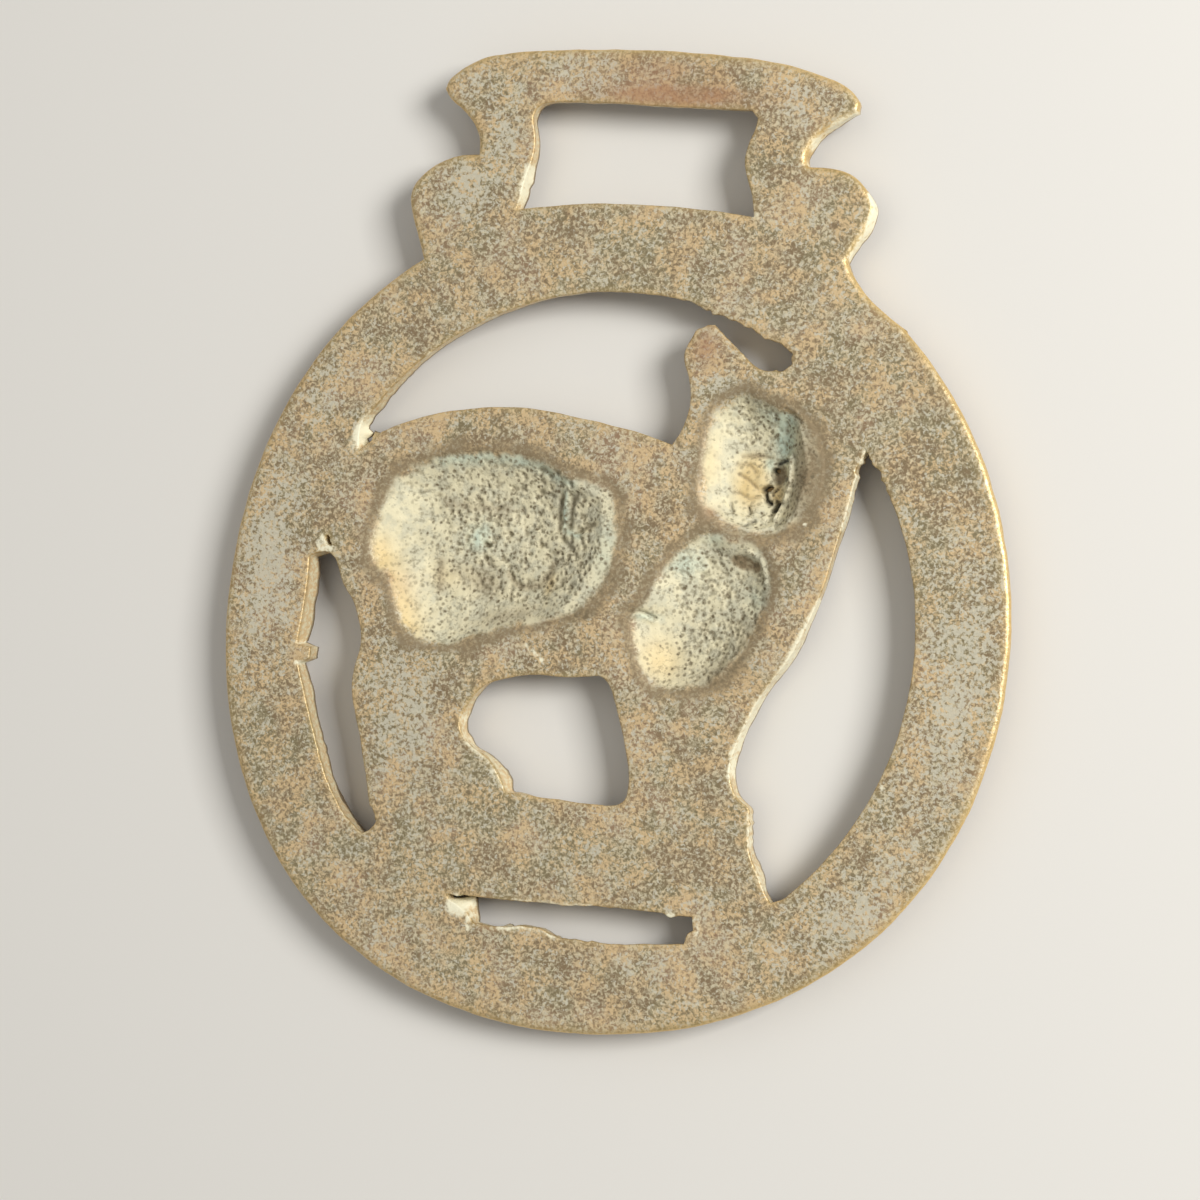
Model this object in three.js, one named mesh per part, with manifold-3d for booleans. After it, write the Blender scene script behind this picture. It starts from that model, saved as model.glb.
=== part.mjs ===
// A cast horse brass: a ring with a standing horse inside it and a strap hanger on top.
// It lies on its relief side, with the plain back and its three hollows facing up.
// Millimetres, +Z up, +Y towards the hanger. Outlines are drawn about the centre of the ring.
import * as THREE from 'three';
import { mergeVertices } from 'three/addons/utils/BufferGeometryUtils.js';
import Module from 'manifold-3d';

const wasm = await Module();
wasm.setup();

// Driving dimensions.
const RING_RADIUS = 35.05;          // mean outer radius of the ring
const RING_INNER_RADIUS = 27.75;    // inner edge of the ring band
const PLATE_THICKNESS = 2.2;        // flat plate that carries ring, horse and hanger
const RIM_HEIGHT = 1.6;             // half-round moulding on the relief side of the ring
const RIM_WIDTH = 6.0;
const RIM_CREST_WIDTH = 1.2;        // flat worn onto the crest, on which the brass lies
const RIM_PROFILE = [0, 30, 60, 90];   // degrees round its half-round side that get an edge
const EDGE_BREAK = 0.35;            // chamfer round the outer edge
const BODY_DEPTH = 2.3;             // depths of the three hollows in the back
const SHOULDER_DEPTH = 2.0;
const HEAD_DEPTH = 2.3;
const RELIEF_HEIGHT = 1.45;         // how far the horse stands out on the relief side
const RELIEF_GROWTH = 1.13;         // the relief over a hollow is this much wider than it
const RELIEF_FULLNESS = 0.75;       // under 1 keeps the sides of a rounded shape steep
const HOLLOW_FULLNESS = 0.8;
const HAND_FINISH = [               // waves that hand filing left in the ring's outline
  { lobes: 2, height: 0.26, turn: 0 },
  { lobes: 3, height: 0.31, turn: 128 },
  { lobes: 4, height: 0.29, turn: -94 },
];

// Levels, from the crest that the brass lies on.
const PLATE_FRONT = RIM_HEIGHT;
const PLATE_BACK = RIM_HEIGHT + PLATE_THICKNESS;
const RELIEF_ROOT = PLATE_FRONT + PLATE_THICKNESS / 3;   // inside the plate, where relief starts

// Fineness of the facets.
const ARC_STEP = 1.5;               // along the ring
const RIM_STEP = 2.1;               // along the moulding
const CURVE_STEP = 0.85;            // along free curves
const PILLOW_STEP = 1.7;            // round a hollow or a piece of relief
const PILLOW_LAYERS = 5;
const LIMB_FACETS = 12;             // round a limb, and round each of its ends
const LIMB_CAP_FACETS = 4;
const CUT_MARGIN = 1;               // how far a cutter stands past the faces it cuts
const SAME_PLACE = 0.05;            // outline points nearer than this are one
const WELD = 1e-5;                  // corners of facets nearer than this are one

// ---------------------------------------------------------------- outlines

const radians = THREE.MathUtils.degToRad;
const point = ([x, y]) => new THREE.Vector2(x, y);
const corners = (...places) => places.map(point);

/** A smooth free curve through a few places. */
function curve(...places) {
  const spline = new THREE.CatmullRomCurve3(places.map(([x, y]) => new THREE.Vector3(x, y, 0)));
  const points = spline.getSpacedPoints(Math.ceil(spline.getLength() / CURVE_STEP));
  return points.map(({ x, y }) => new THREE.Vector2(x, y));
}

/** An arc of a circle between two angles in degrees; radius may be a function of the angle. */
function arc(radius, from, to, centre = [0, 0]) {
  const radiusAt = typeof radius === 'function' ? radius : () => radius;
  const length = radians(Math.abs(to - from)) * radiusAt(radians(from));
  const steps = Math.ceil(length / ARC_STEP);
  return Array.from({ length: steps + 1 }, (_, i) => {
    const angle = radians(THREE.MathUtils.lerp(from, to, i / steps));
    const r = radiusAt(angle);
    return point(centre).add(point([r * Math.cos(angle), r * Math.sin(angle)]));
  });
}

/** Joins runs of points end to end into one closed outline, dropping doubled points. */
function outline(...runs) {
  const points = runs.flat();
  const isNew = (p, i) => p.distanceTo(points.at(i - 1)) > SAME_PLACE;
  return points.filter(isNew);
}

/** A closed smooth outline through a few places, with evenly spaced points. */
function smoothLoop(...places) {
  const spline = new THREE.CatmullRomCurve3(places.map(([x, y]) => new THREE.Vector3(x, y, 0)), true);
  const count = Math.ceil(spline.getLength() / PILLOW_STEP);
  const loop = spline.getSpacedPoints(count).slice(0, count).map(({ x, y }) => new THREE.Vector2(x, y));
  return THREE.ShapeUtils.isClockWise(loop) ? loop.reverse() : loop;
}

const ringRadius = (angle) => HAND_FINISH.reduce(
  (radius, { lobes, height, turn }) => radius + height * Math.sin(lobes * angle + radians(turn)),
  RING_RADIUS,
);

const outerOutline = outline(
  arc(ringRadius, 122.8, 407.3),
  curve([24, 26], [21.8, 27.5], [20.2, 28.9], [19, 30.4], [18.5, 31.35]),
  curve([18.5, 31.35], [19, 32.5], [19.85, 34.2], [20.3, 35.5], [20.1, 36.4], [19.2, 37.6],
    [17.9, 38.55], [16.3, 38.95], [14.4, 38.95]),
  curve([14.4, 38.95], [14.1, 39.5], [14.4, 40.6], [15.2, 41.8], [16.6, 42.7], [18.1, 43.6]),
  curve([18.1, 43.6], [18.3, 44], [17.9, 44.8], [16.6, 45.8], [14.4, 46.6], [11.2, 47.4], [6, 47.95],
    [0, 48.2], [-6, 48.1], [-11.5, 47.8], [-15, 47.2], [-17.1, 46.2], [-18.5, 45], [-18.7, 44.3]),
  curve([-18.7, 44.3], [-18.1, 43.5], [-16.7, 42.5], [-15.6, 41.3], [-15, 40.1], [-14.9, 38.8]),
  curve([-14.9, 38.8], [-16.6, 38.65], [-18.4, 38], [-20, 36.8], [-20.75, 35.7], [-20.85, 34.5],
    [-20, 32], [-19.1, 29.6]),
);

// Each opening goes right through the brass.
const openings = {
  // The slot that the strap passes through, with a straight upper edge and rounded upper corners.
  strapSlot: outline(
    curve([-9.3, 43.35], [-9.9, 43.05], [-10.2, 42.2], [-9.8, 40.5], [-9.85, 38.8], [-10.4, 36.8],
      [-10.9, 34.2]),
    curve([-10.9, 34.2], [-8, 34.6], [-4, 35.05], [0, 35.15], [4.8, 35.05], [10.2, 34.6]),
    curve([10.2, 34.6], [10, 36], [9.3, 37.75], [8.95, 39.4], [9.35, 41.3], [9.75, 42.5], [9.6, 42.95],
      [9.1, 43.35]),
  ),
  // Above the horse's back, past the ear and down to the forehead.
  arch: outline(
    arc(RING_INNER_RADIUS, 147, 78.7),
    curve([5.4, 27.2], [7.3, 26.45], [8.9, 26.1], [10.8, 25.4], [12, 24.7], [13.9, 24.1], [14.8, 23.1],
      [14.4, 22.3], [13.4, 22], [11.9, 22.1], [10, 23.6], [7.8, 25.45]),
    curve([7.8, 25.45], [6.7, 25.3], [5.95, 24.4], [5.4, 22.8], [6, 20.9], [6.3, 19], [5.9, 16.7],
      [5.1, 15.3]),
    curve([5.1, 15.3], [2, 16.1], [-3.7, 17], [-8.5, 17.45], [-13.3, 17], [-17.6, 16], [-21.2, 14.4],
      [-23.3, 12.6]),
  ),
  // Between the chest and the ring.
  chest: outline(
    curve([17.5, -21.4], [18.7, -20.8]),
    arc(RING_INNER_RADIUS, -46, 31, [-0.4, -0.6]),
    curve([23.3, 13.9], [22.6, 15.2], [21.6, 16.3]),
    curve([21.6, 16.3], [21.2, 14.5], [20.8, 11.9], [20.1, 8.6], [19.3, 4.8], [18.1, 1.1], [16.7, -1.9],
      [15.1, -4.3], [14.1, -6.6], [13.2, -9.2], [12.9, -11], [13.4, -12.7], [14.8, -14]),
    curve([14.8, -14], [15.15, -15.5], [15.1, -17.1], [16.2, -19.3], [16.9, -20.6], [17.5, -21.4]),
  ),
  // Under the belly, between the hind legs and the forelegs.
  belly: outline(
    curve([0.8, -4.5], [1.7, -5.1], [2.4, -6.7], [3.25, -8.8], [3.95, -11.2], [4.3, -13.2], [4.05, -14.6],
      [3.2, -15.05], [0.5, -15.2], [-6.5, -15.1]),
    curve([-6.5, -15.1], [-7.3, -13.8], [-8.4, -12.5], [-10.5, -11.2], [-11.35, -9.9], [-10.9, -8.2],
      [-9.5, -6.35], [-7.7, -5.6], [-5, -4.95], [-2.9, -4.95], [0.8, -4.5]),
  ),
  // Behind the hind legs, with a tab of uncut flash on the ring's side.
  tailSlot: outline(
    curve([-19.4, -20.1], [-18.2, -19.2], [-19.1, -17.2], [-20.1, -13.2], [-21.3, -9.5], [-21.75, -7],
      [-21.3, -3.5], [-22.2, -0.7], [-23.6, 1.2], [-24.3, 2.8], [-24.8, 3.5], [-25.4, 3.7], [-26, 3.5]),
    corners([-26.95, 3.2]),
    curve([-26.95, 3.2], [-27, 0], [-27.1, -2.4], [-27.3, -4.5]),
    corners([-26, -4.7], [-25.95, -5.75]),
    curve([-27, -6.2], [-26.2, -8.6], [-24.9, -12], [-23.2, -15.9], [-21, -18.9], [-19.4, -20.1]),
  ),
  // Under the ground that the horse stands on.
  groundSlot: outline(
    curve([-10.9, -24.7], [-9, -25.6], [-8.3, -26.4]),
    curve([-8.3, -26.4], [-7, -26.5], [-5.6, -26.4], [-4, -26.1], [-2.3, -26.15], [-1, -26.55], [1.5, -26.6],
      [4, -26.55], [7.6, -26.1], [10.45, -25.65]),
    corners([10.7, -24.8], [11.15, -24.5], [10.95, -23.4]),
    curve([10.95, -23.4], [5, -23.5], [-1.5, -23.95], [-10.9, -24.3]),
  ),
};

// Outlines of the hollows in the back, each with the place it is deepest at.
const bodyHollow = {
  centre: [-10.5, 5.2],
  loop: smoothLoop([-21.5, 4.6], [-20.8, 7.8], [-19.3, 11], [-16.9, 12.4], [-13.7, 13.3], [-10, 13.6],
    [-6.6, 13.2], [-2.9, 12], [-0.3, 11.5], [1, 9.5], [1.2, 6.5], [0.6, 3.6], [-0.9, 1.3], [-3.5, -0.2],
    [-8.5, -1.6], [-14.3, -3.5], [-17.8, -2.1], [-18.7, 0], [-19.6, 2.1], [-21.1, 3.2]),
};
const shoulderHollow = {
  centre: [9, 1.8],
  loop: smoothLoop([2.8, 1], [3.1, -0.5], [4, -3.2], [5.6, -5], [8.2, -5], [11, -4], [13.2, -1],
    [14.6, 2.4], [14.8, 5], [13.7, 7.5], [10.6, 8.2], [8.8, 8.6], [6.9, 7.1], [5, 4.5], [3.9, 2]),
};
const headHollow = {
  centre: [12.9, 14],
  loop: smoothLoop([7.8, 13.5], [7.9, 16], [8.7, 18.8], [10.8, 20.1], [13.4, 19.2], [14.9, 19.1],
    [16.5, 18.1], [17.9, 15.6], [18.1, 13.2], [16.8, 9.9], [13.8, 8.3], [10.5, 8.8], [8.2, 10.6]),
};

/** An outline grown or shrunk about its deepest place. */
const scaledLoop = ({ centre, loop }, scale) => ({
  centre,
  loop: loop.map((p) => p.clone().sub(point(centre)).multiplyScalar(scale).add(point(centre))),
});

// The horse's masses on the relief side: outline, highest place and height.
const masses = [
  { centre: [-9, 6], height: 1.2,              // barrel
    loop: smoothLoop([-23, 8], [-21.4, 12.4], [-15, 15.9], [-8, 16.8], [0, 15.9], [4.2, 12], [4.4, 5],
      [2, -1], [-6, -3.8], [-14, -4.8], [-21, -1.5], [-23.4, 3]) },
  { centre: [12.5, 10.5], height: 1.1,         // neck and chest
    loop: smoothLoop([6.2, 16.5], [6.8, 20.4], [10, 21.6], [15, 20.8], [20.2, 15], [19.4, 7], [17.4, 1.5],
      [11, -1], [5.2, 6], [4.8, 12]) },
  { centre: [14.2, 18.4], height: 1.4,         // head, with the muzzle against the ring
    loop: smoothLoop([7.8, 22.4], [11.8, 21.9], [17.5, 21.8], [21.4, 19], [21.2, 16.2], [18.3, 14.8],
      [14.6, 15.4], [10.2, 14.4], [7.8, 18]) },
  { centre: [0, -19.6], height: 0.7,           // ground
    loop: smoothLoop([-15.5, -17.2], [0, -16.6], [13.8, -17.2], [14.6, -20.6], [0, -22.6], [-16, -21.2]) },
  { ...scaledLoop(shoulderHollow, RELIEF_GROWTH), height: RELIEF_HEIGHT },
];

// Limbs, as rounded bars between two places.
const limbs = [
  { from: [-20, 3], to: [-13, 2], width: 11, height: 1.45 },          // haunch
  { from: [-18, -2], to: [-18.6, -8], width: 4.6, height: 1.2 },      // near hind leg
  { from: [-18.6, -8], to: [-16.8, -15.2], width: 3.2, height: 1 },
  { from: [-14, -4], to: [-13.6, -9], width: 4, height: 0.9 },        // far hind leg
  { from: [-13.6, -9], to: [-11.2, -15.2], width: 2.8, height: 0.8 },
  { from: [6.6, -3], to: [6.4, -9], width: 4, height: 1.1 },          // near foreleg
  { from: [6.4, -9], to: [7.6, -15.2], width: 3, height: 1 },
  { from: [11, -3], to: [10.6, -9], width: 3.6, height: 0.9 },        // far foreleg
  { from: [10.6, -9], to: [12.4, -15.2], width: 2.8, height: 0.8 },
  { from: [-22.6, 11], to: [-23.4, 5], width: 3, height: 0.9 },       // tail
  { from: [7.6, 20.8], to: [7.4, 24.2], width: 2.6, height: 0.9 },    // ear
];

// ------------------------------------------------------------------ solids

/** A closed geometry as a solid that can be joined and cut. */
function solid(geometry) {
  geometry.deleteAttribute('normal');
  geometry.deleteAttribute('uv');
  const merged = mergeVertices(geometry, WELD);
  return new wasm.Manifold(new wasm.Mesh({
    numProp: 3,
    vertProperties: new Float32Array(merged.attributes.position.array),
    triVerts: new Uint32Array(merged.index.array),
  }));
}

/** A straight prism over an outline, between two levels. */
function prism(points, bottom, top) {
  const geometry = new THREE.ExtrudeGeometry(new THREE.Shape(points), {
    depth: top - bottom,
    bevelEnabled: false,
  });
  return solid(geometry.translate(0, 0, bottom));
}

/** The plate: outer outline with its edges broken on both faces. */
function plate() {
  const geometry = new THREE.ExtrudeGeometry(new THREE.Shape(outerOutline), {
    depth: PLATE_THICKNESS - 2 * EDGE_BREAK,
    bevelThickness: EDGE_BREAK,
    bevelSize: EDGE_BREAK,
    bevelOffset: -EDGE_BREAK,
    bevelSegments: 1,
  });
  return solid(geometry.translate(0, 0, PLATE_FRONT + EDGE_BREAK));
}

/** The half-round moulding of the ring, with a flat along its crest. */
function rimMoulding() {
  const middle = RING_INNER_RADIUS + (RING_RADIUS - RING_INNER_RADIUS) / 2;
  const slope = (RIM_WIDTH - RIM_CREST_WIDTH) / 2;
  const inward = RIM_PROFILE.map(radians).map((a) => point([
    middle - RIM_CREST_WIDTH / 2 - slope * Math.cos(a), PLATE_FRONT - RIM_HEIGHT * Math.sin(a)]));
  const outward = inward.map((p) => point([2 * middle - p.x, p.y])).reverse();
  const first = point([inward[0].x, RELIEF_ROOT]);
  const last = point([outward.at(-1).x, RELIEF_ROOT]);
  const profile = [first, ...inward, ...outward, last, first];
  const segments = Math.round((2 * Math.PI * middle) / RIM_STEP);
  return solid(new THREE.LatheGeometry(profile, segments).rotateX(Math.PI / 2));
}

/**
 * A pillow over an outline: straight sides from root to level, then rounding off to its
 * highest (or, for a hollow, deepest) place. A fullness under 1 keeps its sides steep.
 */
function pillow({ centre, loop, height, root, level, fullness }) {
  const rings = [{ scale: 1, z: root }];
  for (let k = 0; k < PILLOW_LAYERS; k += 1) {
    const angle = (k / PILLOW_LAYERS) * (Math.PI / 2);
    rings.push({ scale: Math.cos(angle) ** fullness, z: level + height * Math.sin(angle) });
  }
  const middle = point(centre);
  const vertices = rings.flatMap(({ scale, z }) => loop.flatMap((p) => {
    const q = p.clone().sub(middle).multiplyScalar(scale).add(middle);
    return [q.x, q.y, z];
  }));
  const count = loop.length;
  const rootCentre = rings.length * count;
  const apex = rootCentre + 1;
  vertices.push(middle.x, middle.y, root, middle.x, middle.y, level + height);
  const triangles = [];
  for (let i = 0; i < count; i += 1) {
    const j = (i + 1) % count;
    triangles.push([rootCentre, j, i]);
    for (let k = 0; k < rings.length - 1; k += 1) {
      const [a, b] = [k * count + i, k * count + j];
      triangles.push([a, b, b + count], [a, b + count, a + count]);
    }
    const last = (rings.length - 1) * count;
    triangles.push([last + i, last + j, apex]);
  }
  const facesOut = height > 0 ? triangles : triangles.map(([a, b, c]) => [a, c, b]);
  const geometry = new THREE.BufferGeometry();
  geometry.setAttribute('position', new THREE.Float32BufferAttribute(vertices, 3));
  geometry.setIndex(facesOut.flat());
  return solid(geometry);
}

/** A mass of the horse, rooted in the plate and standing out downwards. */
const mass = ({ height, ...shape }) => pillow({
  ...shape, height: -height, root: RELIEF_ROOT, level: PLATE_FRONT, fullness: RELIEF_FULLNESS,
});

/** A limb: a capsule between two places, flattened to its height. */
function limb({ from, to, width, height }) {
  const along = point(to).sub(point(from));
  const geometry = new THREE.CapsuleGeometry(width / 2, along.length(), LIMB_CAP_FACETS, LIMB_FACETS);
  geometry.scale(1, 1, height / (width / 2));
  geometry.rotateZ(along.angle() - Math.PI / 2);
  const centre = point(from).add(along.multiplyScalar(0.5));
  return solid(geometry.translate(centre.x, centre.y, PLATE_FRONT));
}

/** A cutter for a hollow in the back. */
const hollowCutter = (hollow, depth) => pillow({
  ...hollow,
  height: -depth,
  root: PLATE_BACK + CUT_MARGIN,
  level: PLATE_BACK,
  fullness: HOLLOW_FULLNESS,
});

/** The whole brass, cast as one. */
function brass() {
  let cast = plate().add(rimMoulding());
  masses.forEach((shape) => { cast = cast.add(mass(shape)); });
  limbs.forEach((shape) => { cast = cast.add(limb(shape)); });
  Object.values(openings).forEach((points) => {
    cast = cast.subtract(prism(points, -CUT_MARGIN, PLATE_BACK + CUT_MARGIN));
  });
  cast = cast.subtract(hollowCutter(bodyHollow, BODY_DEPTH));
  cast = cast.subtract(hollowCutter(shoulderHollow, SHOULDER_DEPTH));
  return cast.subtract(hollowCutter(headHollow, HEAD_DEPTH));
}

/** A solid as a drawable geometry. */
function toGeometry(manifold) {
  const { vertProperties, triVerts } = manifold.getMesh();
  const geometry = new THREE.BufferGeometry();
  geometry.setAttribute('position', new THREE.Float32BufferAttribute(vertProperties, 3));
  geometry.setIndex(Array.from(triVerts));
  geometry.computeVertexNormals();
  return geometry;
}

// ---------------------------------------------------------------- assembly

const agedBrass = new THREE.MeshStandardMaterial({ color: 0x9c835c, roughness: 0.6, metalness: 0.8 });
const horseBrass = new THREE.Mesh(toGeometry(brass()), agedBrass);
horseBrass.name = 'horse_brass';

// The part's origin is below the middle of its box, on the surface that it lies on.
horseBrass.geometry.computeBoundingBox();
const middle = horseBrass.geometry.boundingBox.getCenter(new THREE.Vector3());
horseBrass.position.set(-middle.x, -middle.y, 0);

const part = new THREE.Group();
part.add(horseBrass);
export default part;
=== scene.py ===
"""An old cast horse brass, lying on its relief side with its plain back up.

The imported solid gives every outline. The casting is rebuilt around those outlines as one fine
mesh: the uneven back with its three rough hollows, the drafted walls of the openings, and the
horse, the ground and the half-round rim on the relief side underneath.

Places on the brass are millimetres from the centre of the ring, with the hanger towards +Y.
Heights are millimetres above the crest of the rim that the brass lies on.
"""

from __future__ import annotations

import logging
import math
from dataclasses import dataclass, field
from enum import Enum
from typing import Protocol, Union

import bpy
import numpy as np
from mathutils import Euler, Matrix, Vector, kdtree
from mathutils.geometry import delaunay_2d_cdt

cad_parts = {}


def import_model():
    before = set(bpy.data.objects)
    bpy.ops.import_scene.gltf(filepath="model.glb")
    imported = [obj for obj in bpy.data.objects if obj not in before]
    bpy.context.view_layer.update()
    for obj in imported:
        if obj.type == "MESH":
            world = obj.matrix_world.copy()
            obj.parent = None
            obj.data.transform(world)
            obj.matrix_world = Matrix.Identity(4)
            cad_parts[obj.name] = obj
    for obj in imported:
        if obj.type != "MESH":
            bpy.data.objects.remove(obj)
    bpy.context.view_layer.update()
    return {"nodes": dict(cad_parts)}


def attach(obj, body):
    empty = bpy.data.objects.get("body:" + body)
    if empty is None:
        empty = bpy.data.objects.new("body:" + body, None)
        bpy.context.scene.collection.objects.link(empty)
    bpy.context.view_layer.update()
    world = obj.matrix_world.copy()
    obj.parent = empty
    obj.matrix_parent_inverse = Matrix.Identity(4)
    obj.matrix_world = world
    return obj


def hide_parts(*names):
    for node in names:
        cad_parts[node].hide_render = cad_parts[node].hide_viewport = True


LOG = logging.getLogger("horse_brass")

Place = tuple[float, float]
Colour = tuple[float, float, float]
Value = Union["Wire", float, Colour]

NODE = "horse_brass"
MM = 0.001                      # metres in a millimetre
RING_CENTRE = (-0.234, -6.805)  # of the ring, from the part's origin, in mm
EDGE_BREAK = 0.35               # chamfer round the solid's outer edge, in mm
RING_MIDDLE = 31.4              # radius of the crest of the rim, in mm
PLATE_FRONT = 1.6               # height of the plate's relief side, in mm
PLATE_BACK = 3.8                # height of the plain back, in mm


# ------------------------------------------------------------------ shapes in plan


def smooth_step(low: float, high: float, values: np.ndarray) -> np.ndarray:
    """Return 0 below low and 1 above high, with a smooth change between them."""
    t = np.clip((values - low) / (high - low), 0.0, 1.0)
    return t * t * (3.0 - 2.0 * t)


def is_inside(loop: np.ndarray, xy: np.ndarray) -> np.ndarray:
    """Tell which points lie inside a closed loop.

    Args:
        loop: The corners of the loop, in order.
        xy: The points.

    Returns:
        True for each point inside.
    """
    inside = np.zeros(len(xy), bool)
    near = np.flatnonzero(((xy >= loop.min(0)) & (xy <= loop.max(0))).all(1))
    x, y = xy[near, 0], xy[near, 1]
    crossings = np.zeros(len(near), int)
    for (x0, y0), (x1, y1) in zip(loop, np.roll(loop, -1, 0)):
        if y0 != y1:
            spans = (y0 > y) != (y1 > y)
            crossings += spans & (x < x0 + (y - y0) * (x1 - x0) / (y1 - y0))
    inside[near] = crossings % 2 == 1
    return inside


def left_normals(loop: np.ndarray) -> np.ndarray:
    """Return the unit normals of a closed loop that point to its left.

    Args:
        loop: The points of the loop, in order.

    Returns:
        One unit vector for each point.
    """
    along = np.roll(loop, -1, 0) - np.roll(loop, 1, 0)
    normals = np.stack([-along[:, 1], along[:, 0]], 1)
    return normals / np.maximum(np.linalg.norm(normals, axis=1, keepdims=True), 1e-9)


class Nearest:
    """Finds the nearest of many points, and how far away it is."""

    def __init__(self, xy: np.ndarray) -> None:
        """Index the points.

        Args:
            xy: The points to be found.
        """
        self.xy = xy
        self.tree = kdtree.KDTree(len(xy))
        for index, (x, y) in enumerate(xy):
            self.tree.insert((x, y, 0.0), index)
        self.tree.balance()

    def __call__(self, xy: np.ndarray) -> tuple[np.ndarray, np.ndarray]:
        """Return the index of the nearest point to each of some points, and its distance."""
        found = [self.tree.find((x, y, 0.0)) for x, y in xy]
        return np.array([f[1] for f in found], int), np.array([f[2] for f in found])


@dataclass(frozen=True)
class Swell:
    """Smooth random ups and downs of one size, the same on every run."""

    cell: float    # distance between neighbouring swells
    height: float  # most that one rises or sinks
    seed: int
    period: int = 97

    def at(self, xy: np.ndarray) -> np.ndarray:
        """Return the rise at some points.

        Args:
            xy: The points.

        Returns:
            A height for each point, up or down.
        """
        lattice = np.random.default_rng(self.seed).uniform(-1, 1, (self.period, self.period))
        u = xy / self.cell + self.period
        i = np.floor(u).astype(int)
        f = u - i
        f = f * f * (3.0 - 2.0 * f)
        x0, y0 = i[:, 0] % self.period, i[:, 1] % self.period
        x1, y1 = (x0 + 1) % self.period, (y0 + 1) % self.period
        low = lattice[x0, y0] * (1 - f[:, 0]) + lattice[x1, y0] * f[:, 0]
        high = lattice[x0, y1] * (1 - f[:, 0]) + lattice[x1, y1] * f[:, 0]
        return self.height * (low * (1 - f[:, 1]) + high * f[:, 1])


def beside(xy: np.ndarray, start: Place, end: Place) -> tuple[np.ndarray, np.ndarray]:
    """Measure points against a straight stretch.

    Args:
        xy: The points.
        start: Where the stretch starts.
        end: Where it ends.

    Returns:
        How far along the stretch each point lies, from 0 to 1, and how far away from it.
    """
    a, along = np.array(start), np.subtract(end, start)
    t = np.clip((xy - a) @ along / (along @ along), 0, 1)
    return t, np.linalg.norm(xy - a - t[:, None] * along, axis=1)


class Feature(Protocol):
    """Something that rises from, or sinks into, a surface."""

    height: float

    def rise(self, xy: np.ndarray) -> np.ndarray:
        """Return the feature's height at some points, 0 away from it."""


@dataclass(frozen=True)
class Oval:
    """A soft oval lump, or a dent where its height is negative."""

    centre: Place
    radii: Place
    height: float = 1.0
    turn: float = 0.0        # degrees
    squareness: float = 2.0  # above 2, flatter on top and steeper at the side

    FALL = 1.2               # how fast it falls away

    def reach(self, xy: np.ndarray) -> np.ndarray:
        """Return how far out some points are.

        Args:
            xy: The points.

        Returns:
            For each point, 0 at the middle and 1 on the oval.
        """
        a = math.radians(self.turn)
        d = xy - np.array(self.centre)
        u = (d[:, 0] * math.cos(a) + d[:, 1] * math.sin(a)) / self.radii[0]
        v = (d[:, 1] * math.cos(a) - d[:, 0] * math.sin(a)) / self.radii[1]
        return np.hypot(u, v)

    def rise(self, xy: np.ndarray) -> np.ndarray:
        """Return the height at some points."""
        return self.height * np.exp(-self.FALL * self.reach(xy) ** self.squareness)


@dataclass(frozen=True)
class Trail:
    """A ridge along a few places, or a groove where its height is negative."""

    places: tuple[Place, ...]
    width: float
    height: float = 1.0

    def rise(self, xy: np.ndarray) -> np.ndarray:
        """Return the height at some points."""
        gaps = [beside(xy, *stretch)[1] for stretch in zip(self.places, self.places[1:])]
        return self.height * np.exp(-((np.min(gaps, axis=0) / self.width) ** 2))


@dataclass(frozen=True)
class Pitting:
    """Many small round pits scattered over an oval area."""

    centre: Place
    radii: Place
    count: int
    sizes: Place       # radius of the smallest and the largest pit
    height: float
    seed: int
    turn: float = 0.0  # degrees

    def rise(self, xy: np.ndarray) -> np.ndarray:
        """Return the height at some points, below 0 in the pits.

        Args:
            xy: The points.

        Returns:
            A height for each point.
        """
        random = np.random.default_rng(self.seed)
        out = np.sqrt(random.uniform(0, 1, self.count))
        way = random.uniform(0, 2 * math.pi, self.count)
        u, v = self.radii[0] * out * np.cos(way), self.radii[1] * out * np.sin(way)
        a = math.radians(self.turn)
        middles = np.stack([u * math.cos(a) - v * math.sin(a),
                            u * math.sin(a) + v * math.cos(a)], 1) + np.array(self.centre)
        sizes = random.uniform(*self.sizes, self.count) * random.uniform(0.6, 1, self.count)
        share = np.zeros(len(xy))
        for middle, size in zip(middles, sizes):
            near = np.flatnonzero(np.abs(xy - middle).max(1) < 2 * size)
            gap = np.linalg.norm(xy[near] - middle, axis=1) / size
            share[near] = np.maximum(share[near], np.exp(-(gap**4)))
        return self.height * share


@dataclass(frozen=True)
class Mass(Oval):
    """A rounded oval mass of the relief, with a clear outline."""

    def rise(self, xy: np.ndarray) -> np.ndarray:
        """Return the height at some points, 0 outside the mass."""
        return self.height * np.sqrt(np.clip(1 - self.reach(xy) ** 2, 0, 1))


@dataclass(frozen=True)
class Limb:
    """A rounded limb of the relief, tapering from one place to another."""

    start: Place
    end: Place
    widths: Place
    height: float

    def rise(self, xy: np.ndarray) -> np.ndarray:
        """Return the height at some points.

        Args:
            xy: The points.

        Returns:
            A height for each point, 0 outside the limb.
        """
        t, away = beside(xy, self.start, self.end)
        half = (self.widths[0] + (self.widths[1] - self.widths[0]) * t) / 2
        return self.height * np.sqrt(np.clip(1 - (away / half) ** 2, 0, 1))


# ------------------------------------------------------------------ outlines from the solid


class Hollow(Enum):
    """The hollows cast into the back."""

    BODY = "body"
    SHOULDER = "shoulder"
    HEAD = "head"


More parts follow.
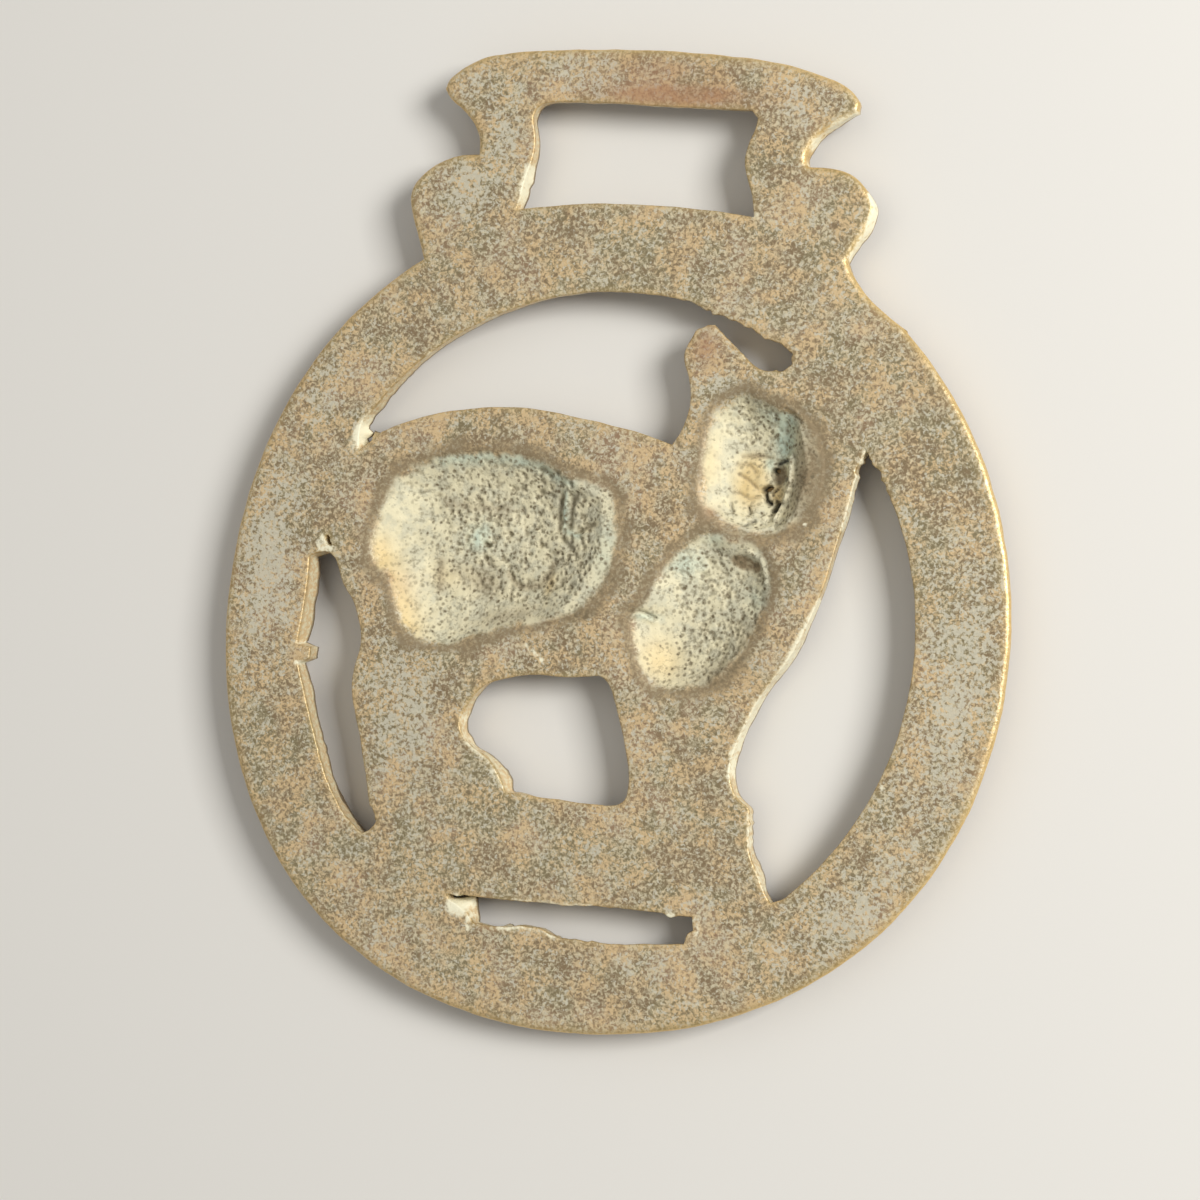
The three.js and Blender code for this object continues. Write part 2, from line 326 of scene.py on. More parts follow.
@dataclass
class Outlines:
    """The outlines of the back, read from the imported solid.

    The outer outline runs anticlockwise and the openings clockwise, so that metal is always on
    the left.
    """

    outer: np.ndarray
    openings: list[np.ndarray]
    hollows: dict[Hollow, np.ndarray]

    WALL_SLOPE = 0.05   # a wall leans less than this much from upright
    BACK_SLOPE = 0.1    # a face of the back points up at least this much
    SLACK = 0.02        # mm, for heights that should be equal
    CORNER = 40.0       # degrees of turn that make a corner
    SPAN_STEPS = 8      # points along a curve between two points of the solid

    @classmethod
    def of_node(cls, node: bpy.types.Object) -> "Outlines":
        """Read the outlines from a CAD node.

        Args:
            node: The solid, with its plain back up.

        Returns:
            The outlines, in mm from the centre of the ring.
        """
        mesh = node.data
        co = np.zeros(len(mesh.vertices) * 3)
        mesh.vertices.foreach_get("co", co)
        corners, index = np.unique((co.reshape(-1, 3) / MM).round(3), axis=0, return_inverse=True)
        mesh.calc_loop_triangles()
        faces = np.zeros(len(mesh.loop_triangles) * 3, int)
        mesh.loop_triangles.foreach_get("vertices", faces)
        faces = index.reshape(-1)[faces].reshape(-1, 3)
        a, b, c = (corners[faces[:, k]] for k in range(3))
        normals = np.cross(b - a, c - a)
        lean = normals[:, 2] / np.maximum(np.linalg.norm(normals, axis=1), 1e-12)
        lowest = corners[faces, 2].min(1)
        on_back = (lean > cls.BACK_SLOPE) & (
            lowest > corners[:, 2].max() - EDGE_BREAK - cls.SLACK)
        side = {}
        for number, face in enumerate(faces.tolist()):
            for k in range(3):
                side[face[k], face[(k + 1) % 3]] = number
        following, wall = {}, {}
        for (start, end), number in side.items():
            other = side.get((end, start))
            if on_back[number] and other is not None and not on_back[other]:
                following[start] = end
                wall[start] = abs(lean[other]) < cls.WALL_SLOPE
        loops = []
        while following:
            start = next(iter(following))
            ids = [start]
            while following[ids[-1]] != start:
                ids.append(following[ids[-1]])
            for i in ids:
                del following[i]
            loops.append((corners[ids, :2] - np.array(RING_CENTRE), np.mean([wall[i] for i in ids])))
        loops.sort(key=lambda item: -np.ptp(item[0][:, 0]))
        outer = loops[0][0]
        openings = [loop for loop, upright in loops[1:] if upright > 0.5]
        body, *others = [loop for loop, upright in loops[1:] if upright <= 0.5]
        others.sort(key=lambda loop: loop[:, 1].mean())
        return cls(outer, openings, dict(zip(Hollow, (body, *others))))

    @classmethod
    def span(cls, p0: np.ndarray, p1: np.ndarray, p2: np.ndarray, p3: np.ndarray) -> np.ndarray:
        """Return a smooth curve from the second of four points to the third.

        Args:
            p0: The point before the curve.
            p1: Its start.
            p2: Its end.
            p3: The point after it.

        Returns:
            Points along the curve, without its end.
        """
        before, here, after = (max(math.dist(a, b), 1e-6) ** 0.5
                               for a, b in ((p0, p1), (p1, p2), (p2, p3)))
        leaving = here * ((p1 - p0) / before - (p2 - p0) / (before + here)) + p2 - p1
        arriving = p2 - p1 + here * ((p3 - p2) / after - (p3 - p1) / (here + after))
        t = np.linspace(0, 1, cls.SPAN_STEPS, endpoint=False)[:, None]
        return (p1 * (2 * t**3 - 3 * t**2 + 1) + leaving * (t**3 - 2 * t**2 + t)
                + p2 * (3 * t**2 - 2 * t**3) + arriving * (t**3 - t**2))

    @classmethod
    def resampled(cls, loop: np.ndarray, step: float) -> np.ndarray:
        """Smooth a loop between its corners and space its points evenly.

        Args:
            loop: The points of the loop, in order.
            step: The distance between points afterwards.

        Returns:
            The new points, in the same order.
        """
        before, after = loop - np.roll(loop, 1, 0), np.roll(loop, -1, 0) - loop
        turn = np.degrees(np.arctan2(
            before[:, 0] * after[:, 1] - before[:, 1] * after[:, 0], (before * after).sum(1)))
        breaks = np.flatnonzero(np.abs(turn) > cls.CORNER)
        first = breaks[0] if len(breaks) else 0
        loop = np.roll(loop, -first, 0)
        breaks = np.append((breaks - first) if len(breaks) else [0], len(loop))
        closed = np.vstack([loop, loop[:1]])
        runs = []
        for start, end in zip(breaks, breaks[1:]):
            run = closed[start:end + 1]
            if len(breaks) == 2:
                ends = (loop[-1], loop[1])
            else:
                ends = (2 * run[0] - run[1], 2 * run[-1] - run[-2])
            knots = np.vstack([ends[0], run, ends[1]])
            fine = np.vstack([cls.span(*four) for four in zip(knots, knots[1:], knots[2:], knots[3:])])
            fine = np.vstack([fine, run[-1]])
            length = np.append(0, np.cumsum(np.linalg.norm(np.diff(fine, axis=0), axis=1)))
            even = np.linspace(0, length[-1], max(2, round(length[-1] / step) + 1))[:-1]
            runs.append(np.stack([np.interp(even, length, fine[:, k]) for k in range(2)], 1))
        return np.vstack(runs)


# ------------------------------------------------------------------ patina, and painted light and shade


class Tint(Enum):
    """Kinds of colour laid over the brass, each a mesh attribute: patina and wear, and painted light
    and shade where noted.
    """

    HOLLOW = "hollow"         # pale casting skin in the hollows
    BAND = "band"             # smooth brown round the hollows
    WORN = "worn"             # bright rubbed edge
    WALL = "wall"             # side of an opening
    PALE = "pale"             # whitish bloom
    COPPER = "copper"         # reddish metal
    OCHRE = "ochre"           # yellow casting skin, and painted light on hollow walls that face the key lamp
    VERDIGRIS = "verdigris"   # green-blue bloom
    BROWN = "brown"           # brown patina in a hollow, and painted shade under its lumps and ledges
    PIT = "pit"               # painted shade at the bottom of a small pit or groove
    SOOT = "soot"             # painted shadow, nearly black, in the deepest holes
    SMOOTH = "smooth"         # skin without pin holes
    CRUST = "crust"           # white crust along an edge
    FRONT = "front"           # relief side


# Where each tint lies: shapes, and how strong the tint is in the middle of each.
Patches = dict[Tint, tuple[tuple[Feature, float], ...]]


PATCHES: Patches = {
    Tint.PALE: (
        (Oval((-15.5, 36.0), (4.0, 2.6), turn=-30), 0.9), (Oval((-12.6, 40.5), (2.0, 3.6)), 0.8),
        (Oval((-16.4, 44.8), (2.2, 1.6), turn=30), 0.7), (Oval((-6.5, 45.8), (5.0, 2.0)), 0.4),
        (Oval((13.5, 44.6), (3.6, 1.8), turn=-20), 0.7), (Oval((-31.0, 2.0), (3.0, 10.0)), 1.1),
        (Oval((-28.0, 18.0), (3.0, 5.0), turn=-30), 0.4),
        (Oval((24.5, -21.5), (7.0, 3.0), turn=45), 0.8),
        (Oval((31.0, -2.0), (3.6, 14.0), turn=-6), 0.85),
        (Oval((-16.5, -9.0), (3.6, 8.0), turn=10), 0.9),
        (Oval((9.0, 20.0), (3.0, 2.4), turn=-10), 0.7),
        (Oval((-17.5, -28.0), (4.0, 2.2), turn=-35), 0.35), (Oval((2.0, -3.4), (3.4, 1.4)), 0.3),
    ),
    Tint.COPPER: (
        (Oval((2.2, 44.4), (6.8, 1.1)), 1.5), (Oval((1.0, 46.4), (6.0, 1.4)), 0.55),
        (Oval((7.2, 23.6), (1.2, 1.5)), 0.8), (Oval((8.7, 9.8), (1.0, 0.8)), 0.9),
        (Oval((-18.7, 1.6), (1.6, 1.4)), 0.35),
    ),
    Tint.OCHRE: (
        # Painted light: the left and lower wall of the body hollow faces the key lamp and is painted
        # bright yellow.
        (Trail(((-21.0, 4.4), (-19.6, 2.4), (-18.4, 0.0), (-17.2, -2.4)), 1.4), 0.9),
        (Oval((-4.9, 2.7), (0.5, 1.1), turn=-15), 0.8), (Oval((-14.8, 2.6), (1.8, 1.2)), 0.4),
        # The flake of yellow skin in the head hollow is its own colour; the long oval at (8.3, 14.0)
        # is painted light on the head hollow's left wall.
        (Oval((11.7, 12.9), (1.6, 2.4), squareness=4), 1.0),
        (Oval((14.0, 12.1), (0.6, 0.9), squareness=4), 1.0), (Oval((8.3, 14.0), (0.8, 2.2)), 0.5),
        # Painted light on the lower left wall of the shoulder hollow, which faces the key lamp.
        (Oval((5.6, -2.6), (2.2, 1.8), turn=-40), 0.8),
    ),
    Tint.VERDIGRIS: (
        (Oval((14.5, 17.0), (1.1, 2.6)), 1.4), (Oval((13.2, 18.3), (1.2, 1.0)), 0.6),
        (Oval((13.1, 14.6), (0.5, 0.8)), 0.7),
        (Trail(((-15.4, 12.6), (-11.0, 13.2), (-7.0, 12.9), (-3.4, 11.4)), 0.6), 0.7),
        (Trail(((-4.1, 10.6), (-4.15, 9.0), (-4.05, 7.4), (-2.6, 7.0)), 0.3), 0.8),
        (Oval((-12.1, 6.2), (1.1, 1.3), turn=-30), 0.8), (Oval((0.2, 5.5), (1.0, 3.0)), 0.4),
        (Oval((9.5, 8.0), (1.3, 0.7)), 0.7), (Oval((7.2, 5.6), (1.6, 1.2)), 0.55),
        (Oval((4.0, 0.9), (1.2, 0.35)), 0.7), (Oval((13.6, 3.0), (1.0, 1.4)), 0.4),
    ),
    Tint.BROWN: (
        # Painted shade: in the sag of the body hollow, and above the soft ledge across it.
        (Oval((-11.4, 2.4), (2.2, 1.4), turn=-20), 0.55),
        (Trail(((-15.4, 8.9), (-12.6, 8.7), (-9.6, 8.8)), 0.5), 0.45),
        (Trail(((-15.4, 3.9), (-15.2, 1.4)), 0.4), 0.5),
        (Oval((-8.0, -0.2), (3.4, 0.9), turn=14), 0.5), (Oval((17.2, 13.6), (1.9, 5.0)), 1.0),
        (Oval((11.6, -3.4), (3.0, 1.4), turn=25), 0.6),
        (Oval((13.2, 0.0), (1.0, 2.0), turn=-20), 0.4),
    ),
    Tint.CRUST: (
        (Oval((-23.1, 14.4), (0.8, 2.0), turn=-25), 1.3),
        (Trail(((-26.3, 4.5), (-26.0, 3.9), (-25.2, 3.85), (-24.7, 4.1)), 0.3), 0.9),
        (Trail(((-25.9, 5.2), (-25.75, 4.6), (-25.3, 4.1)), 0.2), 0.8),
        (Oval((-24.8, 4.7), (0.35, 0.3)), 0.8), (Trail(((-27.4, -4.4), (-26.2, -4.5)), 0.2), 1.0),
        (Trail(((-27.2, -6.2), (-26.1, -6.1)), 0.24), 1.0), (Oval((-9.9, -25.2), (1.2, 1.1)), 1.3),
        (Trail(((-8.8, -26.0), (-8.7, -27.0)), 0.25), 0.9),
        (Trail(((-6.0, -26.6), (-4.0, -26.3), (-2.2, -26.4), (-0.8, -26.8)), 0.22), 0.8),
        (Trail(((-5.0, -24.0), (0.4, -23.8), (2.4, -23.55)), 0.16), 0.6),
        (Oval((9.1, -23.5), (0.45, 0.3)), 1.2),
        (Trail(((11.3, -23.3), (11.6, -24.0), (11.4, -24.9)), 0.2), 0.9),
        (Trail(((11.0, -23.6), (11.0, -24.3)), 0.16), 0.8),
        (Trail(((-10.5, 34.6), (-10.5, 36.4), (-10.2, 37.8)), 0.4), 0.9),
        (Oval((10.4, 34.7), (0.7, 0.4)), 0.8), (Oval((-10.1, 43.3), (0.4, 0.5)), 0.6),
        (Trail(((18.7, 31.6), (19.9, 34.0), (20.4, 35.8), (19.8, 37.0)), 0.3), 0.9),
        (Trail(((14.4, 39.2), (14.6, 41.0), (16.4, 42.6), (18.0, 43.5)), 0.3), 0.8),
        (Trail(((21.7, 16.4), (21.1, 13.6), (20.4, 9.6)), 0.26), 0.7),
        (Trail(((19.0, 3.6), (16.8, -1.8), (14.6, -5.4), (13.0, -9.6), (12.9, -11.6)), 0.24), 0.8),
        (Trail(((14.8, -14.2), (15.2, -17.0), (16.8, -20.4)), 0.2), 0.6),
        (Trail(((-11.4, -9.0), (-10.6, -11.4), (-8.4, -12.8), (-7.0, -14.8)), 0.3), 0.6),
        (Trail(((-21.8, 16.6), (-17.6, 21.4), (-12.0, 25.0)), 0.2), 0.6),
        (Trail(((6.8, 26.6), (9.6, 25.8), (12.4, 24.6), (14.4, 23.4)), 0.16), 0.5),
        (Trail(((-6.1, -2.6), (-5.2, -3.1), (-4.3, -3.8)), 0.16), 1.1),
        (Oval((17.2, 9.65), (0.22, 0.18)), 1.2), (Oval((25.9, -11.0), (0.3, 0.25)), 1.0),
    ),
    Tint.SMOOTH: (
        (Oval((-19.6, 6.5), (2.6, 5.4)), 1.0), (Oval((-17.6, 0.0), (2.0, 3.0)), 0.8),
        (Oval((8.7, 14.0), (1.9, 5.2)), 1.0), (Oval((11.6, 12.6), (1.8, 2.4)), 0.8),
        (Oval((4.6, -0.4), (1.8, 3.4), turn=-20), 0.7),
    ),
}


# ------------------------------------------------------------------ the back


def deepest(inward: dict[Hollow, np.ndarray]) -> np.ndarray:
    """Return how far inside any hollow's rim each point is, negative outside them all."""
    return np.max(list(inward.values()), axis=0)


@dataclass
class HollowShape:
    """One hollow of the back: how deep it is and what is inside it."""

    depth: float
    wall_width: float                   # from the rim to the flat of the floor
    rim_round: float                    # how softly the rim turns down
    features: tuple[Feature, ...] = ()
    marks: Patches = field(default_factory=dict)  # features, with the colour that goes with them: patina, and painted shade in pits, holes and under lumps
    lumps: tuple[Swell, ...] = ()

    FLOOR_ROUND = 2.4   # how roundly the wall runs out into the floor
    RIM_RISE = 0.02     # keeps the metal outside the rim from sinking
    REACH = 1.5         # how far outside the rim the back can still be sunk

    def sink(self, inward: np.ndarray, xy: np.ndarray) -> np.ndarray:
        """Return how far the back is sunk.

        Args:
            inward: How far inside the rim each point is, negative outside.
            xy: The points.

        Returns:
            A depth for each point, 0 well outside the rim.
        """
        inside = 0.5 * (inward + np.sqrt(inward**2 + self.rim_round**2)) - self.RIM_RISE
        t = np.clip(inside / self.wall_width, 0, 1)
        sink = self.depth * (1 - (1 - t) ** self.FLOOR_ROUND)
        near, deep = smooth_step(-0.3, 0.4, inward), smooth_step(0.0, 1.0, inward)
        marks = (shape for group in self.marks.values() for shape, _ in group)
        for feature in (*self.features, *marks):
            sink = sink - feature.rise(xy) * near
        for lump in self.lumps:
            sink = sink - lump.at(xy) * deep
        return np.where(inward > -self.REACH, np.maximum(sink, 0), 0)


def body_hollow() -> HollowShape:
    """Return the large hollow behind the horse's body."""
    return HollowShape(
        depth=2.15, wall_width=5.4, rim_round=0.34,
        features=(
            Oval((1.2, 6.0), (7.0, 9.0), 1.3, 0, 3),        # shallower to the right
            Oval((-7.0, 3.9), (1.6, 1.2), 0.1, 20, 3),      # lump inside the crescent
            Oval((-2.8, 2.6), (2.4, 2.0), 0.2, 20, 3),      # bulge beside it
            Trail(((-15.4, 8.2), (-13.2, 7.9), (-11.2, 8.3), (-9.4, 7.7)), 0.8, 0.16),
            Trail(((-4.05, 10.7), (-4.2, 9.0), (-4.1, 7.3)), 0.2, 0.14),    # ridge between grooves
            Trail(((-5.1, 7.0), (-3.2, 7.0), (-1.4, 7.4)), 0.22, 0.12),
            Oval((-11.2, 2.3), (2.3, 1.6), -0.2),
            Oval((-13.6, -0.2), (2.2, 1.8), 0.22, 30, 3),
            Oval((-17.6, 3.0), (1.2, 0.8), 0.16, 0, 3),
            Trail(((-19.6, 2.3), (-17.8, 2.5), (-15.6, 3.4)), 0.3, -0.14),
        ),
        marks={
            # Painted shade in the pits and grooves of the body hollow.
            Tint.PIT: (
                (Trail(((-4.4, 10.3), (-4.75, 9.0), (-4.7, 7.4)), 0.25, -0.26), 0.9),
                (Trail(((-3.0, 10.4), (-3.5, 9.6), (-3.6, 7.7)), 0.25, -0.26), 0.9),
                (Trail(((-2.8, 7.4), (-1.2, 8.1)), 0.2, -0.22), 0.9),
                (Trail(((-4.3, 6.7), (-3.2, 5.9)), 0.26, -0.3), 0.7),
                (Oval((-11.4, 5.6), (0.42, 0.24), -0.5, -25, 4), 1.0),
                (Oval((-11.4, 4.5), (0.26, 0.22), -0.4, 0, 4), 1.0),
                (Oval((-6.3, 12.35), (0.5, 0.26), -0.3, 0, 4), 0.8),
                (Oval((-5.6, 11.9), (0.34, 0.24), -0.3, 0, 4), 0.8),
                (Oval((-4.8, 12.15), (0.26, 0.2), -0.3, 0, 4), 0.8),
                (Oval((-3.5, 11.4), (0.26, 0.2), -0.3, 0, 4), 0.8),
                (Oval((-6.6, 10.5), (0.4, 0.3), -0.3, 0, 4), 0.7),
                (Oval((-6.3, 6.0), (0.26, 0.24), -0.35, 0, 4), 0.9),
                (Oval((-9.3, 6.7), (0.3, 0.24), -0.3, 0, 4), 0.8),
                (Oval((-10.9, 3.9), (0.5, 0.2), -0.2, -30, 4), 0.6),
                (Pitting((-7.8, 6.6), (7.6, 5.6), 330, (0.1, 0.26), -0.2, 71), 0.8),
                (Pitting((-2.2, 3.4), (3.4, 3.4), 110, (0.1, 0.24), -0.16, 72), 0.75),
                (Pitting((-12.0, 9.8), (6.6, 3.6), 150, (0.09, 0.24), -0.14, 73), 0.6),
                (Pitting((-13.0, 0.6), (5.0, 3.6), 90, (0.08, 0.2), -0.12, 74), 0.5),
            ),
            Tint.BROWN: (
                # Painted shadow: the crescent under the lump inside it.
                (Trail(((-9.0, 3.3), (-8.4, 2.5), (-7.2, 2.3), (-5.9, 2.6), (-5.1, 3.5), (-4.8, 4.6)),
                       0.36, -0.12), 0.6),
            ),
        },
        lumps=(Swell(2.6, 0.09, 11), Swell(1.1, 0.05, 12), Swell(0.5, 0.03, 13)))


def shoulder_hollow() -> HollowShape:
    """Return the hollow behind the horse's shoulder."""
    return HollowShape(
        depth=1.75, wall_width=4.8, rim_round=0.5,
        features=(
            Trail(((2.6, 0.75), (3.4, 0.95), (4.8, 0.5)), 0.3, 0.22),       # lip under the fold
            Oval((4.6, 2.6), (1.8, 1.1), 0.3, 40, 3),
            Trail(((12.5, 7.0), (13.6, 6.5), (14.1, 5.4), (14.2, 4.6)), 0.24, 0.2),
            Oval((10.9, 2.4), (2.0, 1.6), 0.2),
            Oval((11.6, -2.8), (2.6, 1.6), 0.35, 20),
        ),
        marks={
            # Painted shade in the pits and in the crease under the fold of the shoulder hollow.
            Tint.PIT: (
                (Trail(((2.75, 1.15), (3.6, 1.3), (4.2, 1.15), (4.9, 0.8)), 0.12, -0.4), 0.9),
                (Oval((11.4, 5.1), (0.22, 0.16), -0.2, 0, 4), 0.7),
                (Oval((13.95, 4.95), (0.26, 0.2), -0.25, 0, 4), 0.7),
                (Oval((8.6, 4.8), (0.4, 0.22), -0.2, 0, 4), 0.6),
                (Pitting((10.4, 2.6), (4.0, 4.6), 170, (0.1, 0.24), -0.16, 81), 0.75),
                (Pitting((10.6, -1.6), (2.8, 2.6), 90, (0.1, 0.24), -0.14, 82), 0.75),
                (Pitting((8.2, 5.4), (2.6, 2.4), 50, (0.08, 0.2), -0.12, 83), 0.5),
            ),
            Tint.BROWN: (
                (Oval((12.0, 6.1), (1.25, 0.62), -0.14, -12, 8), 1.0),
                (Oval((13.2, 5.8), (0.6, 0.5), -0.1, -20, 6), 1.0),
            ),
        },
        lumps=(Swell(2.2, 0.08, 21), Swell(0.9, 0.05, 22), Swell(0.5, 0.03, 23)))


def head_hollow() -> HollowShape:
    """Return the hollow behind the horse's head, with a casting flaw in it."""
    return HollowShape(
        depth=2.3, wall_width=4.0, rim_round=0.3,
        features=(
            Oval((17.3, 13.6), (2.6, 5.6), 1.4, 0, 4),      # ledge along the right
            Trail(((15.1, 15.1), (15.25, 13.2), (14.95, 11.7), (14.2, 9.9)), 0.2, 0.55),
            Oval((15.0, 11.7), (0.4, 0.4), 0.25),
            Oval((11.9, 12.6), (1.9, 2.3), 0.28, 0, 3),     # flake of yellow skin
            Oval((13.6, 17.2), (1.4, 1.7), 0.22),
            Oval((10.6, 17.6), (1.5, 1.6), 0.14),
            Trail(((14.6, 19.3), (15.6, 18.8), (16.6, 18.1), (17.5, 16.6), (18.1, 15.0)), 0.22, 0.3),
            Trail(((16.0, 17.4), (16.7, 16.2), (16.9, 14.9)), 0.2, 0.2),
            Trail(((9.6, 9.9), (11.0, 9.1), (12.8, 8.8), (14.2, 9.3)), 0.22, 0.26),
            Trail(((10.9, 10.0), (12.2, 9.7), (13.4, 10.0)), 0.18, 0.2),
            Trail(((15.0, 9.3), (16.2, 10.2), (17.0, 11.6)), 0.22, 0.2),
        ),
        marks={
            # Painted shadow, nearly black, in the holes and cracks of the casting flaw.
            Tint.SOOT: (
                (Oval((13.05, 12.4), (0.56, 0.27), -1.2, 20, 6), 1.0),
                (Oval((13.6, 14.0), (0.3, 0.22), -0.9, 0, 5), 1.0),
                (Trail(((13.75, 14.5), (14.3, 14.8), (14.65, 14.85)), 0.14, -0.5), 0.9),
                (Oval((14.75, 13.35), (0.14, 0.22), -0.5, 0, 4), 0.9),
                (Trail(((13.0, 11.95), (13.15, 11.4), (13.5, 11.2)), 0.17, -0.8), 1.0),
                (Trail(((13.6, 12.1), (14.0, 12.45)), 0.12, -0.4), 0.7),
                (Trail(((14.25, 11.2), (14.1, 10.7), (13.9, 10.6)), 0.2, -0.8), 1.0),
                (Trail(((10.2, 10.95), (10.45, 10.3)), 0.1, -0.3), 0.55),
                (Trail(((11.7, 10.75), (11.95, 10.1)), 0.11, -0.4), 0.75),
                (Trail(((11.9, 9.2), (12.1, 9.45), (12.5, 9.6)), 0.12, -0.4), 0.75),
            ),
            Tint.BROWN: (
                (Oval((14.1, 13.6), (0.62, 0.95), -0.5, -10, 5), 1.0),
                (Trail(((10.7, 14.9), (12.2, 15.1), (13.2, 15.0)), 0.16, -0.2), 0.7),
                (Trail(((10.5, 13.4), (11.4, 13.0), (12.4, 12.2)), 0.13, -0.2), 0.7),
                (Trail(((10.3, 14.2), (11.3, 14.3), (12.0, 13.7)), 0.12, -0.16), 0.5),
                (Trail(((10.7, 11.9), (11.7, 11.4), (12.6, 11.7)), 0.12, -0.16), 0.5),
                (Trail(((14.7, 18.9), (15.9, 18.2), (16.9, 17.0), (17.3, 15.6)), 0.2, -0.2), 0.5),
                (Trail(((10.2, 8.9), (12.3, 8.4), (14.6, 8.5), (16.3, 9.3)), 0.2, -0.2), 0.6),
            ),
            # Painted shade in the pits of the head hollow.
            Tint.PIT: (
                (Pitting((11.6, 17.6), (2.4, 2.0), 80, (0.08, 0.2), -0.14, 91), 0.7),
                (Pitting((14.6, 17.2), (1.6, 2.0), 40, (0.08, 0.18), -0.12, 92), 0.6),
                (Pitting((16.6, 13.2), (1.6, 4.0), 60, (0.08, 0.2), -0.12, 93), 0.5),
            ),
        },
        lumps=(Swell(1.6, 0.07, 31), Swell(0.7, 0.06, 32), Swell(0.4, 0.035, 33)))


@dataclass
class Back:
    """The plain back, with its hollows."""

    hollows: dict[Hollow, HollowShape] = field(default_factory=lambda: {
        Hollow.BODY: body_hollow(),
        Hollow.SHOULDER: shoulder_hollow(),
        Hollow.HEAD: head_hollow(),
    })
    swells: tuple[Swell, ...] = (Swell(11.0, 0.07, 1), Swell(3.2, 0.035, 2), Swell(0.9, 0.02, 3))
    nicks: tuple[Feature, ...] = (
        Trail(((-6.1, -2.6), (-5.2, -3.1), (-4.3, -3.8)), 0.14, -0.07),
        Trail(((17.9, -26.6), (18.4, -25.9)), 0.12, -0.06),
        Oval((13.5, -23.5), (0.3, 0.3), 0.08),
        Trail(((-12.6, -3.8), (-8.4, -2.3), (-3.5, -1.0), (-1.6, -0.1)), 0.45, -0.14),
    )

    def height(self, xy: np.ndarray, inward: dict[Hollow, np.ndarray]) -> np.ndarray:
        """Return the height of the back.

        Args:
            xy: The points.
            inward: How far inside each hollow's rim the points are.

        Returns:
            A height above the crest for each point.
        """
        z = np.full(len(xy), PLATE_BACK - sum(s.height for s in self.swells))
        for swell in self.swells:
            z += swell.at(xy)
        for nick in self.nicks:
            z += nick.rise(xy)
        for hollow, shape in self.hollows.items():
            z -= shape.sink(inward[hollow], xy)
        return z

    def tints(self, xy: np.ndarray, inward: dict[Hollow, np.ndarray]) -> dict[Tint, np.ndarray]:
        """Return how strong each tint is on the back, apart from its edges.

        Args:
            xy: The points.
            inward: How far inside each hollow's rim the points are.

        Returns:
            A strength from 0 to 1 for each tint and point.
        """
        amounts = {tint: np.zeros(len(xy)) for tint in Tint}
        for patches in (PATCHES, *(hollow.marks for hollow in self.hollows.values())):
            for tint, group in patches.items():
                for shape, strength in group:
                    share = np.clip(strength * np.abs(shape.rise(xy) / shape.height), 0, 1)
                    amounts[tint] = np.maximum(amounts[tint], share)
        inside = deepest(inward)
        uneven = Swell(0.7, 0.3, 95).at(xy)
        amounts[Tint.HOLLOW] = smooth_step(0.0, 0.6, inside + uneven)
        ragged = Swell(1.4, 0.5, 96).at(xy) + uneven
        amounts[Tint.BAND] = (smooth_step(-1.3, -0.5, inside + ragged)
                              * (1 - smooth_step(-0.1, 0.4, inside)))
        return amounts


# ------------------------------------------------------------------ the relief side


